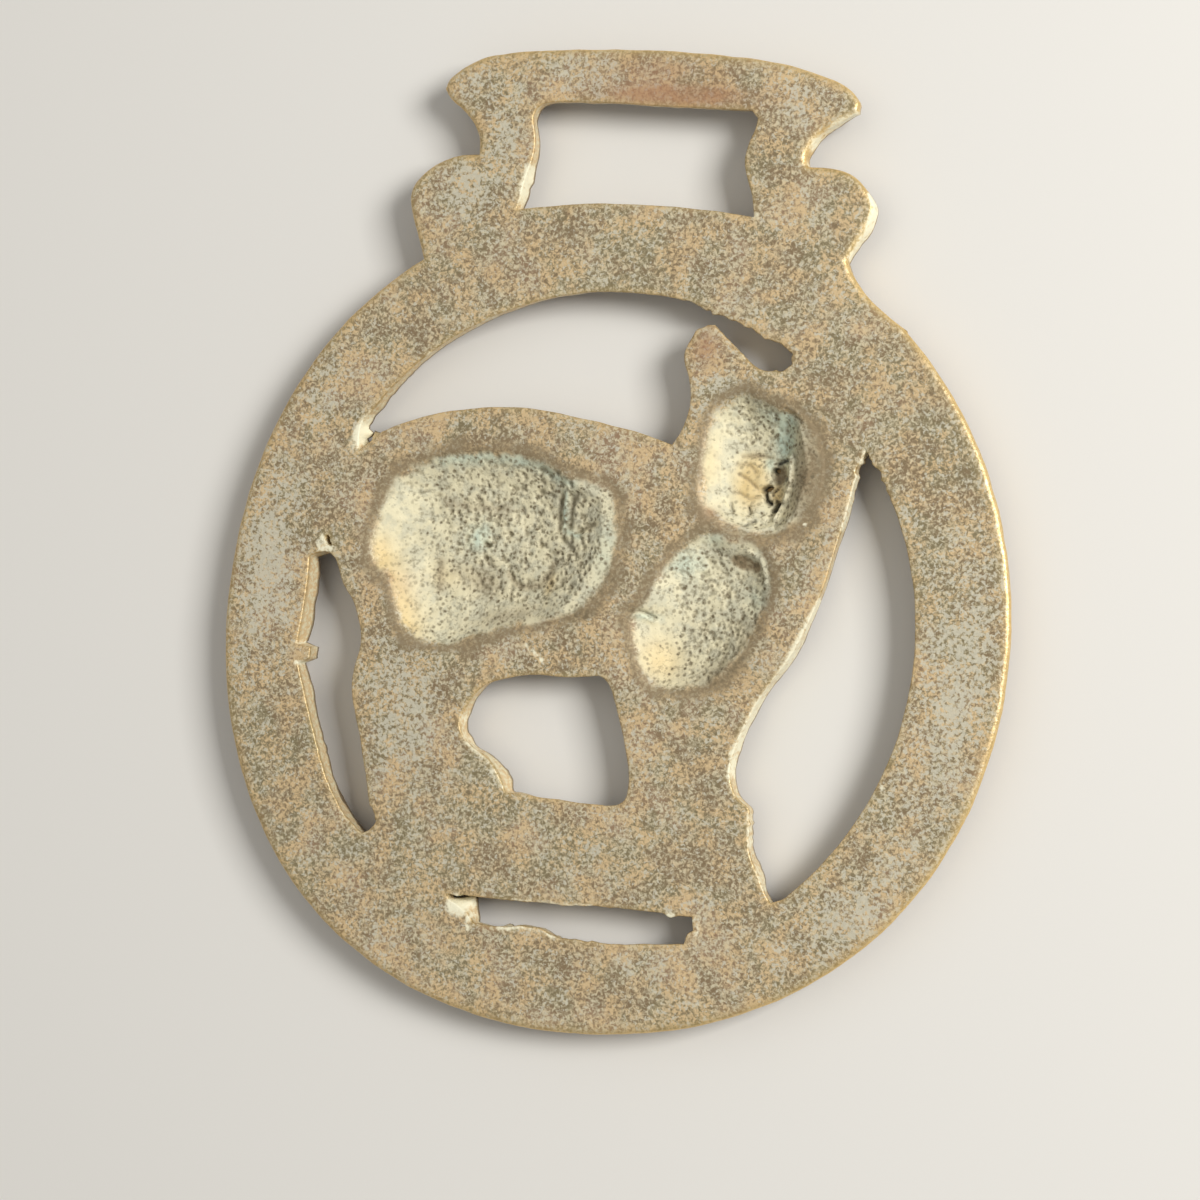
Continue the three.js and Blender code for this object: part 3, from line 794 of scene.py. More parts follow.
@dataclass
class Relief:
    """The relief side: a half-round rim, the horse, and the ground it stands on."""

    rim_height: float = 1.6
    rim_width: float = 6.0
    rim_flat: float = 0.2       # share of the rim's half width that is worn flat
    blend: float = 4.0          # how sharply neighbouring masses meet
    lowest: float = 0.06        # no part of the horse comes closer to the crest's level
    masses: tuple[Feature, ...] = (
        Mass((-8.5, 5.8), (14.8, 10.2), 1.25, -4),      # barrel
        Mass((-16.4, 3.2), (7.0, 8.6), 1.4, 12),        # haunch
        Mass((6.4, 3.4), (6.8, 9.4), 1.3, -18),         # shoulder
        Mass((13.2, 0.6), (4.6, 8.0), 1.0, 12),         # chest
        Limb((8.0, 8.0), (12.4, 15.0), (14.5, 11.5), 1.15),
        Limb((10.6, 19.4), (19.4, 17.6), (7.2, 4.8), 1.35),
        Mass((12.3, 17.6), (3.3, 3.5), 1.35),           # cheek
        Mass((19.9, 17.3), (2.5, 2.2), 1.3),            # muzzle
        Limb((8.3, 21.2), (7.7, 24.6), (2.8, 1.0), 1.2),
        Limb((9.9, 21.4), (9.3, 23.4), (1.9, 0.9), 0.9),
        Limb((-21.8, 12.0), (-23.6, 8.6), (2.4, 3.2), 1.0),
        Limb((-23.6, 8.6), (-23.9, 4.6), (3.2, 1.8), 1.0),
        Limb((-17.8, -1.5), (-19.4, -7.0), (6.4, 3.6), 1.25),
        Limb((-19.4, -7.0), (-17.2, -14.6), (3.0, 2.4), 1.1),
        Mass((-16.9, -16.2), (1.9, 1.3), 1.1),
        Limb((-13.6, -3.0), (-14.4, -8.5), (5.2, 3.0), 1.0),
        Limb((-14.4, -8.5), (-11.9, -14.8), (2.6, 2.0), 0.9),
        Mass((-11.4, -16.2), (1.7, 1.2), 0.9),
        Limb((6.4, -1.0), (6.2, -8.4), (5.0, 3.2), 1.2),
        Limb((6.2, -8.4), (7.4, -14.8), (2.9, 2.3), 1.1),
        Mass((7.9, -16.2), (1.9, 1.3), 1.1),
        Limb((11.2, -2.0), (10.6, -8.8), (4.4, 2.8), 1.0),
        Limb((10.6, -8.8), (12.0, -14.8), (2.6, 2.1), 0.9),
        Mass((12.5, -16.2), (1.7, 1.2), 0.9),
        Limb((-15.2, -19.4), (14.4, -19.2), (4.6, 4.4), 0.75),
    )
    swells: tuple[Swell, ...] = (Swell(6.0, 0.05, 41), Swell(1.6, 0.03, 42))

    def details(self) -> list[Feature]:
        """Make the fine lines and lumps worked into the relief.

        Returns:
            The lines and lumps.
        """
        lines: list[Feature] = [
            Mass((13.3, 19.7), (0.75, 0.5), 0.3, -10),                       # eye
            Trail(((12.2, 20.4), (13.4, 20.6), (14.3, 20.1)), 0.16, -0.22),
            Oval((20.6, 18.0), (0.5, 0.35), -0.35, 30, 3),                   # nostril
            Trail(((18.4, 16.0), (20.2, 16.1), (21.2, 16.9)), 0.16, -0.25),  # mouth
            Trail(((9.7, 15.2), (12.4, 14.2), (15.2, 15.2)), 0.3, -0.35),    # throat
            Trail(((12.8, 9.5), (13.8, 4.2), (12.2, -1.0)), 0.5, -0.25),     # shoulder line
            Trail(((1.2, 12.5), (0.2, 6.0), (1.4, 0.2)), 0.6, -0.25),
            Trail(((-9.8, 12.0), (-10.6, 5.5), (-8.6, -0.5)), 0.8, -0.18),   # flank
        ]
        for strand in range(9):      # mane, along the crest of the neck
            y = 22.3 - 0.85 * strand
            lines.append(Trail(((6.0, y), (8.0 + 0.05 * strand, y - 1.1)), 0.17, -0.28))
        for strand in range(4):      # tail
            x = -24.6 + 0.7 * strand
            lines.append(Trail(((x + 1.2, 11.6), (x, 8.4), (x + 0.2, 5.2)), 0.16, -0.24))
        for tuft in range(13):       # grass
            x = -13.5 + 2.2 * tuft
            lines.append(Trail(((x, -20.6), (x + 0.35 * (-1) ** tuft, -18.2)), 0.2, -0.25))
        return lines

    def height(self, xy: np.ndarray) -> np.ndarray:
        """Return the height of the relief side.

        Args:
            xy: The points.

        Returns:
            A height above the crest for each point, smaller where the relief is prouder.
        """
        reach = np.abs(np.linalg.norm(xy, axis=1) - RING_MIDDLE) / (self.rim_width / 2)
        worn = np.clip((reach - self.rim_flat) / (1 - self.rim_flat), 0, 1)
        rim = self.rim_height * np.sqrt(1 - worn**2)
        horse = sum(mass.rise(xy) ** self.blend for mass in self.masses) ** (1 / self.blend)
        cover = smooth_step(0.05, 0.5, horse)
        for line in self.details():
            horse = horse + line.rise(xy) * cover
        horse = np.minimum(horse, self.rim_height - self.lowest)
        rise = np.maximum(rim, np.maximum(horse, 0))
        uneven = sum(swell.at(xy) for swell in self.swells)
        return PLATE_FRONT - rise - uneven * np.clip(1 - rim / self.rim_height, 0, 1)


# ------------------------------------------------------------------ the casting


@dataclass(frozen=True)
class Flaw:
    """A place where an edge of one side is out of line or torn."""

    place: Place
    reach: float
    push: float    # into the metal, or into the opening where negative
    torn: float    # height of the torn edge


def pushed(flaws: tuple[Flaw, ...], xy: np.ndarray, usual: float | np.ndarray, torn: float,
           tear: Swell) -> np.ndarray:
    """Return how far an edge is pushed into the metal at some points.

    Args:
        flaws: The flaws of the edge.
        xy: The points.
        usual: How far it is pushed where there is no flaw.
        torn: How torn it is there.
        tear: The shape of a torn edge.

    Returns:
        A distance for each point.
    """
    push, height = np.zeros(len(xy)) + usual, np.full(len(xy), torn)
    for flaw in flaws:
        near = np.exp(-(np.linalg.norm(xy - np.array(flaw.place), axis=1) / flaw.reach) ** 2)
        push += flaw.push * near
        height = np.maximum(height, flaw.torn * near)
    return push + height * tear.at(xy)


class Edges:
    """The edges of the casting: loops of points with the metal on their left."""

    def __init__(self, loops: list[np.ndarray]) -> None:
        """Index the points of the edges.

        Args:
            loops: The outer edge, then the edge of each opening.
        """
        lengths = [len(loop) for loop in loops]
        starts = np.cumsum([0, *lengths])
        self.loops = loops
        self.xy = np.vstack(loops)
        self.normals = np.vstack([left_normals(loop) for loop in loops])
        self.is_outer = np.arange(len(self.xy)) < lengths[0]
        self.following = np.concatenate(
            [np.roll(np.arange(n), -1) + start for n, start in zip(lengths, starts)])
        self.nearest = Nearest(self.xy)


@dataclass
class Side:
    """One side of the casting, with the points of the edges first."""

    xy: np.ndarray
    triangles: np.ndarray
    nearest: np.ndarray     # number of the edge point nearest to each point
    away: np.ndarray        # how far each point is from the edge
    z: np.ndarray = field(default_factory=lambda: np.zeros(0))


@dataclass
class Casting:
    """The whole brass as one fine mesh."""

    outlines: Outlines
    back: Back = field(default_factory=Back)
    relief: Relief = field(default_factory=Relief)
    edge_step: float = 0.3          # along every edge
    flat_step: float = 0.42         # across plain metal
    hollow_step: float = 0.165      # across a hollow
    relief_step: float = 0.38       # across the relief side
    outer_round: float = 0.45       # worn outer edge
    opening_round: float = 0.14     # crisp edge of an opening
    relief_round: float = 0.4       # edges of the relief side
    row_shares: tuple[float, ...] = (0.13, 0.44, 1.0)   # rows across a rounded edge
    row_clearance: float = 0.82     # share of its distance that a row keeps from other edges
    fill_clearance: float = 0.6     # share of a step that a lattice keeps from other points
    fill_shake: float = 0.12        # share of a step that a lattice is shaken by
    fine_margin: float = 0.5        # how far past a rim the fine lattice goes
    wall_rows: int = 4
    wall_left: float = 0.9          # least height of a wall
    wall_rough: Swell = Swell(0.6, 0.035, 61)
    row_offset: float = 3.7         # so that the rows of a wall differ
    filed: Swell = Swell(1.7, 0.045, 51)
    edge_torn: float = 0.012        # how rough an edge of the back is where there is no flaw
    edge_tear: Swell = Swell(0.42, 1.0, 52)
    wall_torn: float = 0.02         # the same for an edge of the relief side
    wall_tear: Swell = Swell(0.55, 1.0, 53)
    worn_outer: float = 0.28        # how far in from the outer edge the brass is rubbed bright
    worn_opening: float = 0.16      # the same for an opening
    worn_wall: float = 0.8          # how bright the outer wall is
    worn_rise: float = 0.45         # share of the rim's height from which the relief is bright
    draft: float = 0.22             # how far a wall leans in from the back to the relief side
    draft_reach: float = 1.6        # how far into the metal the lean carries
    edge_flaws: tuple[Flaw, ...] = (
        Flaw((22.6, 14.8), 2.0, 0.0, 0.4),
        Flaw((14.2, 23.0), 1.8, 0.0, 0.2),
        Flaw((7.5, 26.5), 2.4, 0.0, 0.22),
        Flaw((12.0, 25.2), 2.4, 0.0, 0.2),
        Flaw((-9.6, -25.2), 1.4, 0.0, 0.25),
        Flaw((0.0, -26.5), 6.0, 0.0, 0.12),
        Flaw((9.1, -23.4), 0.45, -0.32, 0.08),
        Flaw((-5.0, -24.1), 5.0, 0.0, 0.06),
        Flaw((-25.4, 3.7), 1.0, 0.0, 0.12),
        Flaw((-21.0, -18.0), 3.0, 0.0, 0.12),
        Flaw((-24.0, -14.0), 4.0, 0.0, 0.06),
        Flaw((15.0, -15.6), 2.0, 0.0, 0.16),
        Flaw((-24.0, -1.0), 8.0, 0.0, 0.02),
    )
    wall_flaws: tuple[Flaw, ...] = (
        Flaw((-22.6, 14.0), 1.7, -0.7, 0.8),
        Flaw((-20.6, 17.2), 3.0, -0.3, 0.15),
        Flaw((-27.0, 1.0), 3.2, -0.62, 0.08),
        Flaw((-27.2, -3.2), 2.0, -0.5, 0.08),
        Flaw((-26.4, -8.4), 2.4, -0.4, 0.06),
        Flaw((-24.0, -14.0), 3.6, -0.3, 0.1),
        Flaw((-11.2, -9.6), 2.4, -0.35, 0.15),
        Flaw((-7.2, -13.8), 2.2, -0.6, 0.2),
        Flaw((13.0, -10.0), 4.0, -0.3, 0.04),
        Flaw((17.4, -0.4), 5.0, -0.15, 0.04),
        Flaw((20.8, 12.0), 4.0, -0.15, 0.1),
        Flaw((16.0, -18.0), 2.4, -0.2, 0.15),
        Flaw((-10.4, 36.6), 2.4, -0.35, 0.16),
        Flaw((-9.6, -25.7), 1.1, -1.3, 0.6),
        Flaw((-5.0, -26.3), 2.0, -0.3, 0.3),
        Flaw((19.8, 34.4), 3.0, -0.3, 0.06),
        Flaw((15.0, 41.4), 2.4, -0.3, 0.06),
    )
    pin_hole: tuple[Place, ...] = (
        (-25.55, 5.1), (-25.6, 4.7), (-25.45, 4.35), (-25.2, 4.3), (-25.0, 4.35), (-25.15, 4.6),
        (-25.25, 4.95), (-25.4, 5.12),
    )

    def edge_loops(self) -> list[np.ndarray]:
        """Return the outer outline and the openings, evenly spaced and roughened.

        Returns:
            Loops with the metal on their left, the outer one first.
        """
        loops = [Outlines.resampled(self.outlines.outer, self.edge_step)]
        loops += [Outlines.resampled(loop, self.edge_step) for loop in self.outlines.openings]
        rough = []
        for loop in loops:
            push = pushed(self.edge_flaws, loop, self.filed.at(loop), self.edge_torn, self.edge_tear)
            rough.append(loop + left_normals(loop) * push[:, None])
        rough.append(np.array(self.pin_hole)[::-1])
        return rough

    def rows(self, loops: list[np.ndarray], rounds: list[float]) -> tuple[np.ndarray, np.ndarray]:
        """Return rows of points that follow every edge inside the metal.

        Args:
            loops: The edges.
            rounds: How wide the rounding of each edge is.

        Returns:
            The points, and the distance of each from its edge.
        """
        nearest = Nearest(np.vstack(loops))
        kept, away = [], []
        for loop, width in zip(loops, rounds):
            for share in self.row_shares:
                row = loop + left_normals(loop) * (share * width)
                _, gap = nearest(row)
                good = gap > self.row_clearance * share * width
                kept.append(row[good])
                away.append(np.full(good.sum(), share * width))
        return np.vstack(kept), np.concatenate(away)

    def fill(self, step: float, clear_of: Nearest) -> np.ndarray:
        """Return a triangular lattice of points over the metal.

        Args:
            step: The distance between neighbours.
            clear_of: Points to keep away from.

        Returns:
            The points, inside the outer outline and outside the openings.
        """
        low, high = self.outlines.outer.min(0), self.outlines.outer.max(0)
        x, y = np.meshgrid(
            np.arange(low[0], high[0], step), np.arange(low[1], high[1], step * math.sqrt(0.75)))
        x = x + (np.arange(len(y)) % 2)[:, None] * step / 2
        xy = np.stack([x.ravel(), y.ravel()], 1)
        shake = self.fill_shake
        xy += np.random.default_rng(7).uniform(-shake, shake, xy.shape) * step
        xy = xy[is_inside(self.outlines.outer, xy)]
        for opening in self.outlines.openings:
            xy = xy[~is_inside(opening, xy)]
        _, gap = clear_of(xy)
        return xy[gap > self.fill_clearance * step]

    def skin(self, loops: list[np.ndarray], xy: np.ndarray) -> np.ndarray:
        """Join points into triangles over the metal.

        Args:
            loops: The edges; their points come first.
            xy: The points inside.

        Returns:
            Rows of three point numbers, anticlockwise from the back.
        """
        every = np.vstack([*loops, xy])
        edges, start = [], 0
        for loop in loops:
            ring = np.arange(len(loop)) + start
            edges += np.stack([ring, np.roll(ring, -1)], 1).tolist()
            start += len(loop)
        made = delaunay_2d_cdt([Vector(p) for p in every], edges, [], 0, 1e-6)
        old = np.array([sources[0] if sources else -1 for sources in made[3]])
        triangles = old[np.array(made[2])]
        if (old < 0).any() or len(old) != len(every):
            LOG.warning("%d points were added or joined by the triangulation",
                        abs(len(old) - len(every)) + (old < 0).sum())
            triangles = triangles[(triangles >= 0).all(1)]
        middle = every[triangles].mean(1)
        metal = is_inside(loops[0], middle)
        for loop in loops[1:]:
            metal &= ~is_inside(loop, middle)
        return triangles[metal]

    def inward(self, xy: np.ndarray) -> dict[Hollow, np.ndarray]:
        """Return how far inside each hollow's rim some points are.

        Args:
            xy: The points.

        Returns:
            For each hollow, a distance that is negative outside.
        """
        result = {}
        for hollow, outline in self.outlines.hollows.items():
            loop = Outlines.resampled(outline, self.hollow_step / 2)
            _, gap = Nearest(loop)(xy)
            result[hollow] = np.where(is_inside(loop, xy), gap, -gap)
        return result

    @staticmethod
    def rounding(away: np.ndarray, width: np.ndarray) -> np.ndarray:
        """Return how far a rounded edge of some width drops, at distances from the edge."""
        t = np.clip(1 - away / width, 0, 1)
        return width * (1 - np.sqrt(1 - t**2))

    def lean(self, xy: np.ndarray) -> np.ndarray:
        """Return how far the relief side's edge lies inside the back's edge at some points."""
        return pushed(self.wall_flaws, xy, self.draft, self.wall_torn, self.wall_tear)

    def side(self, edges: Edges, rows: np.ndarray, row_away: np.ndarray, rest: np.ndarray) -> Side:
        """Join the points of one side.

        Args:
            edges: The edges.
            rows: The points of the rows that follow them.
            row_away: How far each of those is from its edge.
            rest: The points of the rest of the side.

        Returns:
            The side, still without heights.
        """
        inside = np.vstack([rows, rest])
        xy = np.vstack([edges.xy, inside])
        nearest, away = edges.nearest(xy)
        away[:len(edges.xy)] = 0
        away[len(edges.xy):len(edges.xy) + len(rows)] = row_away
        return Side(xy, self.skin(edges.loops, inside), nearest, away)

    def back_side(self, edges: Edges) -> tuple[Side, dict[Tint, np.ndarray]]:
        """Make the back, fine in the hollows and coarser on the plain metal.

        Args:
            edges: The edges.

        Returns:
            The side, and the strength of each tint at its points.
        """
        rounds = [self.outer_round] + [self.opening_round] * (len(edges.loops) - 1)
        rows, row_away = self.rows(edges.loops, rounds)
        rims = np.vstack([Outlines.resampled(loop, self.hollow_step)
                          for loop in self.outlines.hollows.values()])
        clear = Nearest(np.vstack([edges.xy, rows, rims]))
        coarse, fine = self.fill(self.flat_step, clear), self.fill(self.hollow_step, clear)
        coarse = coarse[deepest(self.inward(coarse)) < -self.fine_margin]
        fine = fine[deepest(self.inward(fine)) >= -self.fine_margin]
        side = self.side(edges, rows, row_away, np.vstack([rims, coarse, fine]))
        inward = self.inward(side.xy)
        is_outer = edges.is_outer[side.nearest]
        width = np.where(is_outer, self.outer_round, self.opening_round)
        side.z = self.back.height(side.xy, inward) - self.rounding(side.away, width)
        tints = self.back.tints(side.xy, inward)
        tints[Tint.WORN] = np.where(is_outer, np.exp(-side.away / self.worn_outer),
                                    0.5 * np.exp(-side.away / self.worn_opening))
        return side, tints

    def relief_side(self, edges: Edges) -> Side:
        """Make the relief side, its edges drawn in or out as the walls lean.

        Args:
            edges: The edges.

        Returns:
            The side.
        """
        rows, row_away = self.rows(edges.loops, [self.relief_round] * len(edges.loops))
        clear = Nearest(np.vstack([edges.xy, rows]))
        side = self.side(edges, rows, row_away, self.fill(self.relief_step, clear))
        normals = edges.normals[side.nearest]
        direction = side.xy - edges.xy[side.nearest]
        size = np.linalg.norm(direction, axis=1, keepdims=True)
        inwards = (direction * normals).sum(1, keepdims=True) > 0
        direction = np.where(inwards, direction / np.maximum(size, 1e-6), normals)
        carried = np.clip(1 - side.away / self.draft_reach, 0, 1)
        side.xy = side.xy + direction * (self.lean(edges.xy[side.nearest]) * carried)[:, None]
        drop = self.rounding(side.away, np.full(len(side.away), self.relief_round))
        side.z = np.minimum(self.relief.height(side.xy) + drop, PLATE_BACK - self.wall_left)
        return side

    def walls(self, edges: Edges, back: Side, front: Side) -> tuple[np.ndarray, np.ndarray]:
        """Make the rows of points down the walls, between the back and the relief side.

        Args:
            edges: The edges.
            back: The back.
            front: The relief side.

        Returns:
            The places and the heights of the points, one row after another.
        """
        count = len(edges.xy)
        wall_xy, wall_z = [], []
        for row in range(1, self.wall_rows + 1):
            t = row / (self.wall_rows + 1)
            bulge = self.wall_rough.at(edges.xy + self.row_offset * row)
            xy = edges.xy * (1 - t) + front.xy[:count] * t
            wall_xy.append(xy + edges.normals * bulge[:, None])
            wall_z.append(back.z[:count] * (1 - t) + front.z[:count] * t)
        return np.vstack(wall_xy), np.concatenate(wall_z)

    def quads(self, edges: Edges, first_wall: int, first_front: int) -> np.ndarray:
        """Join the rows of the walls to each other and to both sides.

        Args:
            edges: The edges.
            first_wall: The number of the first point of the walls.
            first_front: The number of the first point of the relief side.

        Returns:
            Rows of four point numbers.
        """
        ring = np.arange(len(edges.xy))
        rings = [ring, *(first_wall + row * len(ring) + ring for row in range(self.wall_rows)),
                 first_front + ring]
        return np.vstack([
            np.stack([upper, lower, lower[edges.following], upper[edges.following]], 1)
            for upper, lower in zip(rings, rings[1:])])

    def dress(self, mesh: bpy.types.Mesh, tints: dict[Tint, np.ndarray], edges: Edges,
              front: Side) -> None:
        """Write every tint to the mesh, for the back, the walls and the relief side.

        Args:
            mesh: The mesh.
            tints: The strength of each tint on the back.
            edges: The edges.
            front: The relief side.
        """
        opening = np.tile(~edges.is_outer, self.wall_rows).astype(float)
        rise = np.clip((PLATE_FRONT - front.z) / self.relief.rim_height, 0, 1)
        for tint, amount in tints.items():
            on_wall, on_front = np.zeros(len(opening)), np.zeros(len(front.z))
            if tint in (Tint.CRUST, Tint.PALE, Tint.COPPER, Tint.OCHRE, Tint.VERDIGRIS):
                on_wall = np.tile(amount[:len(edges.xy)], self.wall_rows)
            elif tint is Tint.WALL:
                on_wall = opening
            elif tint is Tint.FRONT:
                on_front = np.ones(len(front.z))
            elif tint is Tint.WORN:
                on_wall = self.worn_wall * (1 - opening)
                on_front = smooth_step(self.worn_rise, 1.0, rise)
            layer = mesh.attributes.new(tint.value, "FLOAT", "POINT")
            layer.data.foreach_set("value", np.concatenate([amount, on_wall, on_front]))

    def build(self) -> bpy.types.Object:
        """Make the mesh object.

        Returns:
            The brass, in metres in the part's frame, with a point attribute for each tint.
        """
        edges = Edges(self.edge_loops())
        back, tints = self.back_side(edges)
        front = self.relief_side(edges)
        wall_xy, wall_z = self.walls(edges, back, front)
        first_front = len(back.xy) + len(wall_xy)
        quads = self.quads(edges, len(back.xy), first_front)

        xy = np.vstack([back.xy, wall_xy, front.xy]) + np.array(RING_CENTRE)
        co = np.column_stack([xy, np.concatenate([back.z, wall_z, front.z])]) * MM
        faces = [*back.triangles.tolist(), *quads.tolist(),
                 *(front.triangles[:, ::-1] + first_front).tolist()]
        mesh = bpy.data.meshes.new("horse_brass_cast")
        mesh.from_pydata(co.tolist(), [], faces)
        mesh.validate()
        mesh.polygons.foreach_set("use_smooth", np.ones(len(mesh.polygons), bool))
        self.dress(mesh, tints, edges, front)
        mesh.update()
        brass = bpy.data.objects.new("horse_brass_cast", mesh)
        bpy.context.scene.collection.objects.link(brass)
        LOG.info("%s: %d points, %d triangles", brass.name, len(co), len(faces) + len(quads))
        return brass


# ------------------------------------------------------------------ materials


class Wire:
    """A socket of a shader graph, with arithmetic that adds Math nodes."""

    def __init__(self, graph: "Graph", socket: bpy.types.NodeSocket | None) -> None:
        """Wrap an output socket of a node in the graph."""
        self.graph = graph
        self.socket = socket

    def math(self, operation: str, *others: Value, clamp: bool = False) -> "Wire":
        """Return the result of one Math node on this value and others."""
        return self.graph.node("ShaderNodeMath", {"operation": operation, "use_clamp": clamp},
                               dict(enumerate((self, *others))))

    def __add__(self, other: Value) -> "Wire":
        """Return the sum of two values."""
        return self.math("ADD", other)

    __radd__ = __add__

    def __sub__(self, other: Value) -> "Wire":
        """Return this value less another."""
        return self.math("SUBTRACT", other)

    def __rsub__(self, other: Value) -> "Wire":
        """Return another value less this one."""
        return self.graph.node("ShaderNodeMath", {"operation": "SUBTRACT"}, {0: other, 1: self})

    def __mul__(self, other: Value) -> "Wire":
        """Return the product of two values."""
        return self.math("MULTIPLY", other)

    __rmul__ = __mul__

    def clamped(self) -> "Wire":
        """Return the value kept between 0 and 1."""
        return self.math("ADD", 0.0, clamp=True)

    def step(self, low: float, high: float) -> "Wire":
        """Return 0 below low and 1 above high, with a smooth change between them."""
        return self.graph.node("ShaderNodeMapRange", {"interpolation_type": "SMOOTHSTEP"},
                               {"Value": self, "From Min": low, "From Max": high})


class Graph:
    """The node graph of one material."""

    def __init__(self, name: str) -> None:
        """Start a material with an empty graph.

        Args:
            name: The material's name.
        """
        self.material = bpy.data.materials.new(name)
        self.material.use_nodes = True
        self.tree = self.material.node_tree
        self.tree.nodes.clear()

    def node(self, kind: str, settings: dict[str, object] | None = None,
             inputs: dict[str | int, Value] | None = None, output: str | int = 0) -> Wire:
        """Add a node.

        Args:
            kind: The node's type.
            settings: Properties that are set before its sockets.
            inputs: Values or links for its input sockets, by name or number.
            output: Which output to return.

        Returns:
            The chosen output, or an empty wire for a node that has none.
        """
        made = self.tree.nodes.new(kind)
        for name, setting in (settings or {}).items():
            setattr(made, name, setting)
        for key, value in (inputs or {}).items():
            socket = made.inputs[key]
            if isinstance(value, Wire):
                self.tree.links.new(value.socket, socket)
            elif isinstance(value, tuple) and len(socket.default_value) == len(value) + 1:
                socket.default_value = (*value, 1.0)
            else:
                socket.default_value = value
        return Wire(self, made.outputs[output] if len(made.outputs) else None)

    def attribute(self, tint: Tint) -> Wire:
        """Return a tint's strength from the mesh."""
        return self.node("ShaderNodeAttribute", {"attribute_name": tint.value}, output="Fac")

    def place(self, scale: float) -> Wire:
        """Return the place on the object, scaled, in mm."""
        coordinates = self.node("ShaderNodeTexCoord", output="Object")
        return self.node("ShaderNodeVectorMath", {"operation": "SCALE"},
                         {"Vector": coordinates, "Scale": scale / MM})

    def noise(self, cell: float, detail: float = 2.0, roughness: float = 0.55,
              distortion: float = 0.0, offset: Colour = (0.0, 0.0, 0.0)) -> Wire:
        """Return noise between 0 and 1.

        Args:
            cell: The size of its largest features, in mm.
            detail: How many finer layers it has.
            roughness: How strong the finer layers are.
            distortion: How much it is bent out of shape.
            offset: Where it is taken from, so that two noises differ.

        Returns:
            The noise.
        """
        moved = self.node("ShaderNodeVectorMath", {"operation": "ADD"},
                          {0: self.place(1.0), 1: offset})
        return self.node("ShaderNodeTexNoise", {"noise_dimensions": "3D"}, {
            "Vector": moved, "Scale": 1.0 / cell, "Detail": detail, "Roughness": roughness,
            "Distortion": distortion})

    def pin_holes(self, spacing: float, radius: float) -> Wire:
        """Return 1 in small round holes that are scattered evenly, and 0 between them.

        Args:
            spacing: The usual distance between two holes, in mm.
            radius: The radius of the largest, in mm.

        Returns:
            The strength of the holes.
        """
        bent = self.node("ShaderNodeVectorMath", {"operation": "ADD"}, {
            0: self.place(1.0), 1: self.node("ShaderNodeVectorMath", {"operation": "SCALE"}, {
                "Vector": self.noise(0.6, 1.0), "Scale": 0.3})})
        cells = self.node("ShaderNodeTexVoronoi", {"voronoi_dimensions": "3D"}, {
            "Vector": bent, "Scale": 1.0 / spacing, "Randomness": 1.0}, output="Distance")
        edge = radius / spacing
        return 1.0 - cells.step(0.6 * edge, 1.7 * edge)

    def mix(self, share: Value, first: Value, second: Value) -> Wire:
        """Return a blend of two colours, the second where share is 1."""
        return self.node("ShaderNodeMix", {"data_type": "RGBA"}, {0: share, 6: first, 7: second},
                         output=2)

    def surface(self, **inputs: Value) -> bpy.types.Material:
        """Finish the material with one shader.

        Args:
            inputs: Sockets of the shader, with an underscore for each space.

        Returns:
            The material.
        """
        shader = self.node("ShaderNodeBsdfPrincipled", inputs={
            name.replace("_", " "): value for name, value in inputs.items()})
        self.node("ShaderNodeOutputMaterial", inputs={"Surface": shader})
        return self.material


def paint(red: int, green: int, blue: int) -> Colour:
    """Return a colour given as it is seen on a screen, for use in a shader.

    Args:
        red: From 0 to 255.
        green: From 0 to 255.
        blue: From 0 to 255.

    Returns:
        The same colour with linear values.
    """
    def linear(level: int) -> float:
        """Return one channel's linear value."""
        part = level / 255
        return part / 12.92 if part <= 0.04045 else ((part + 0.055) / 1.055) ** 2.4

    return linear(red), linear(green), linear(blue)


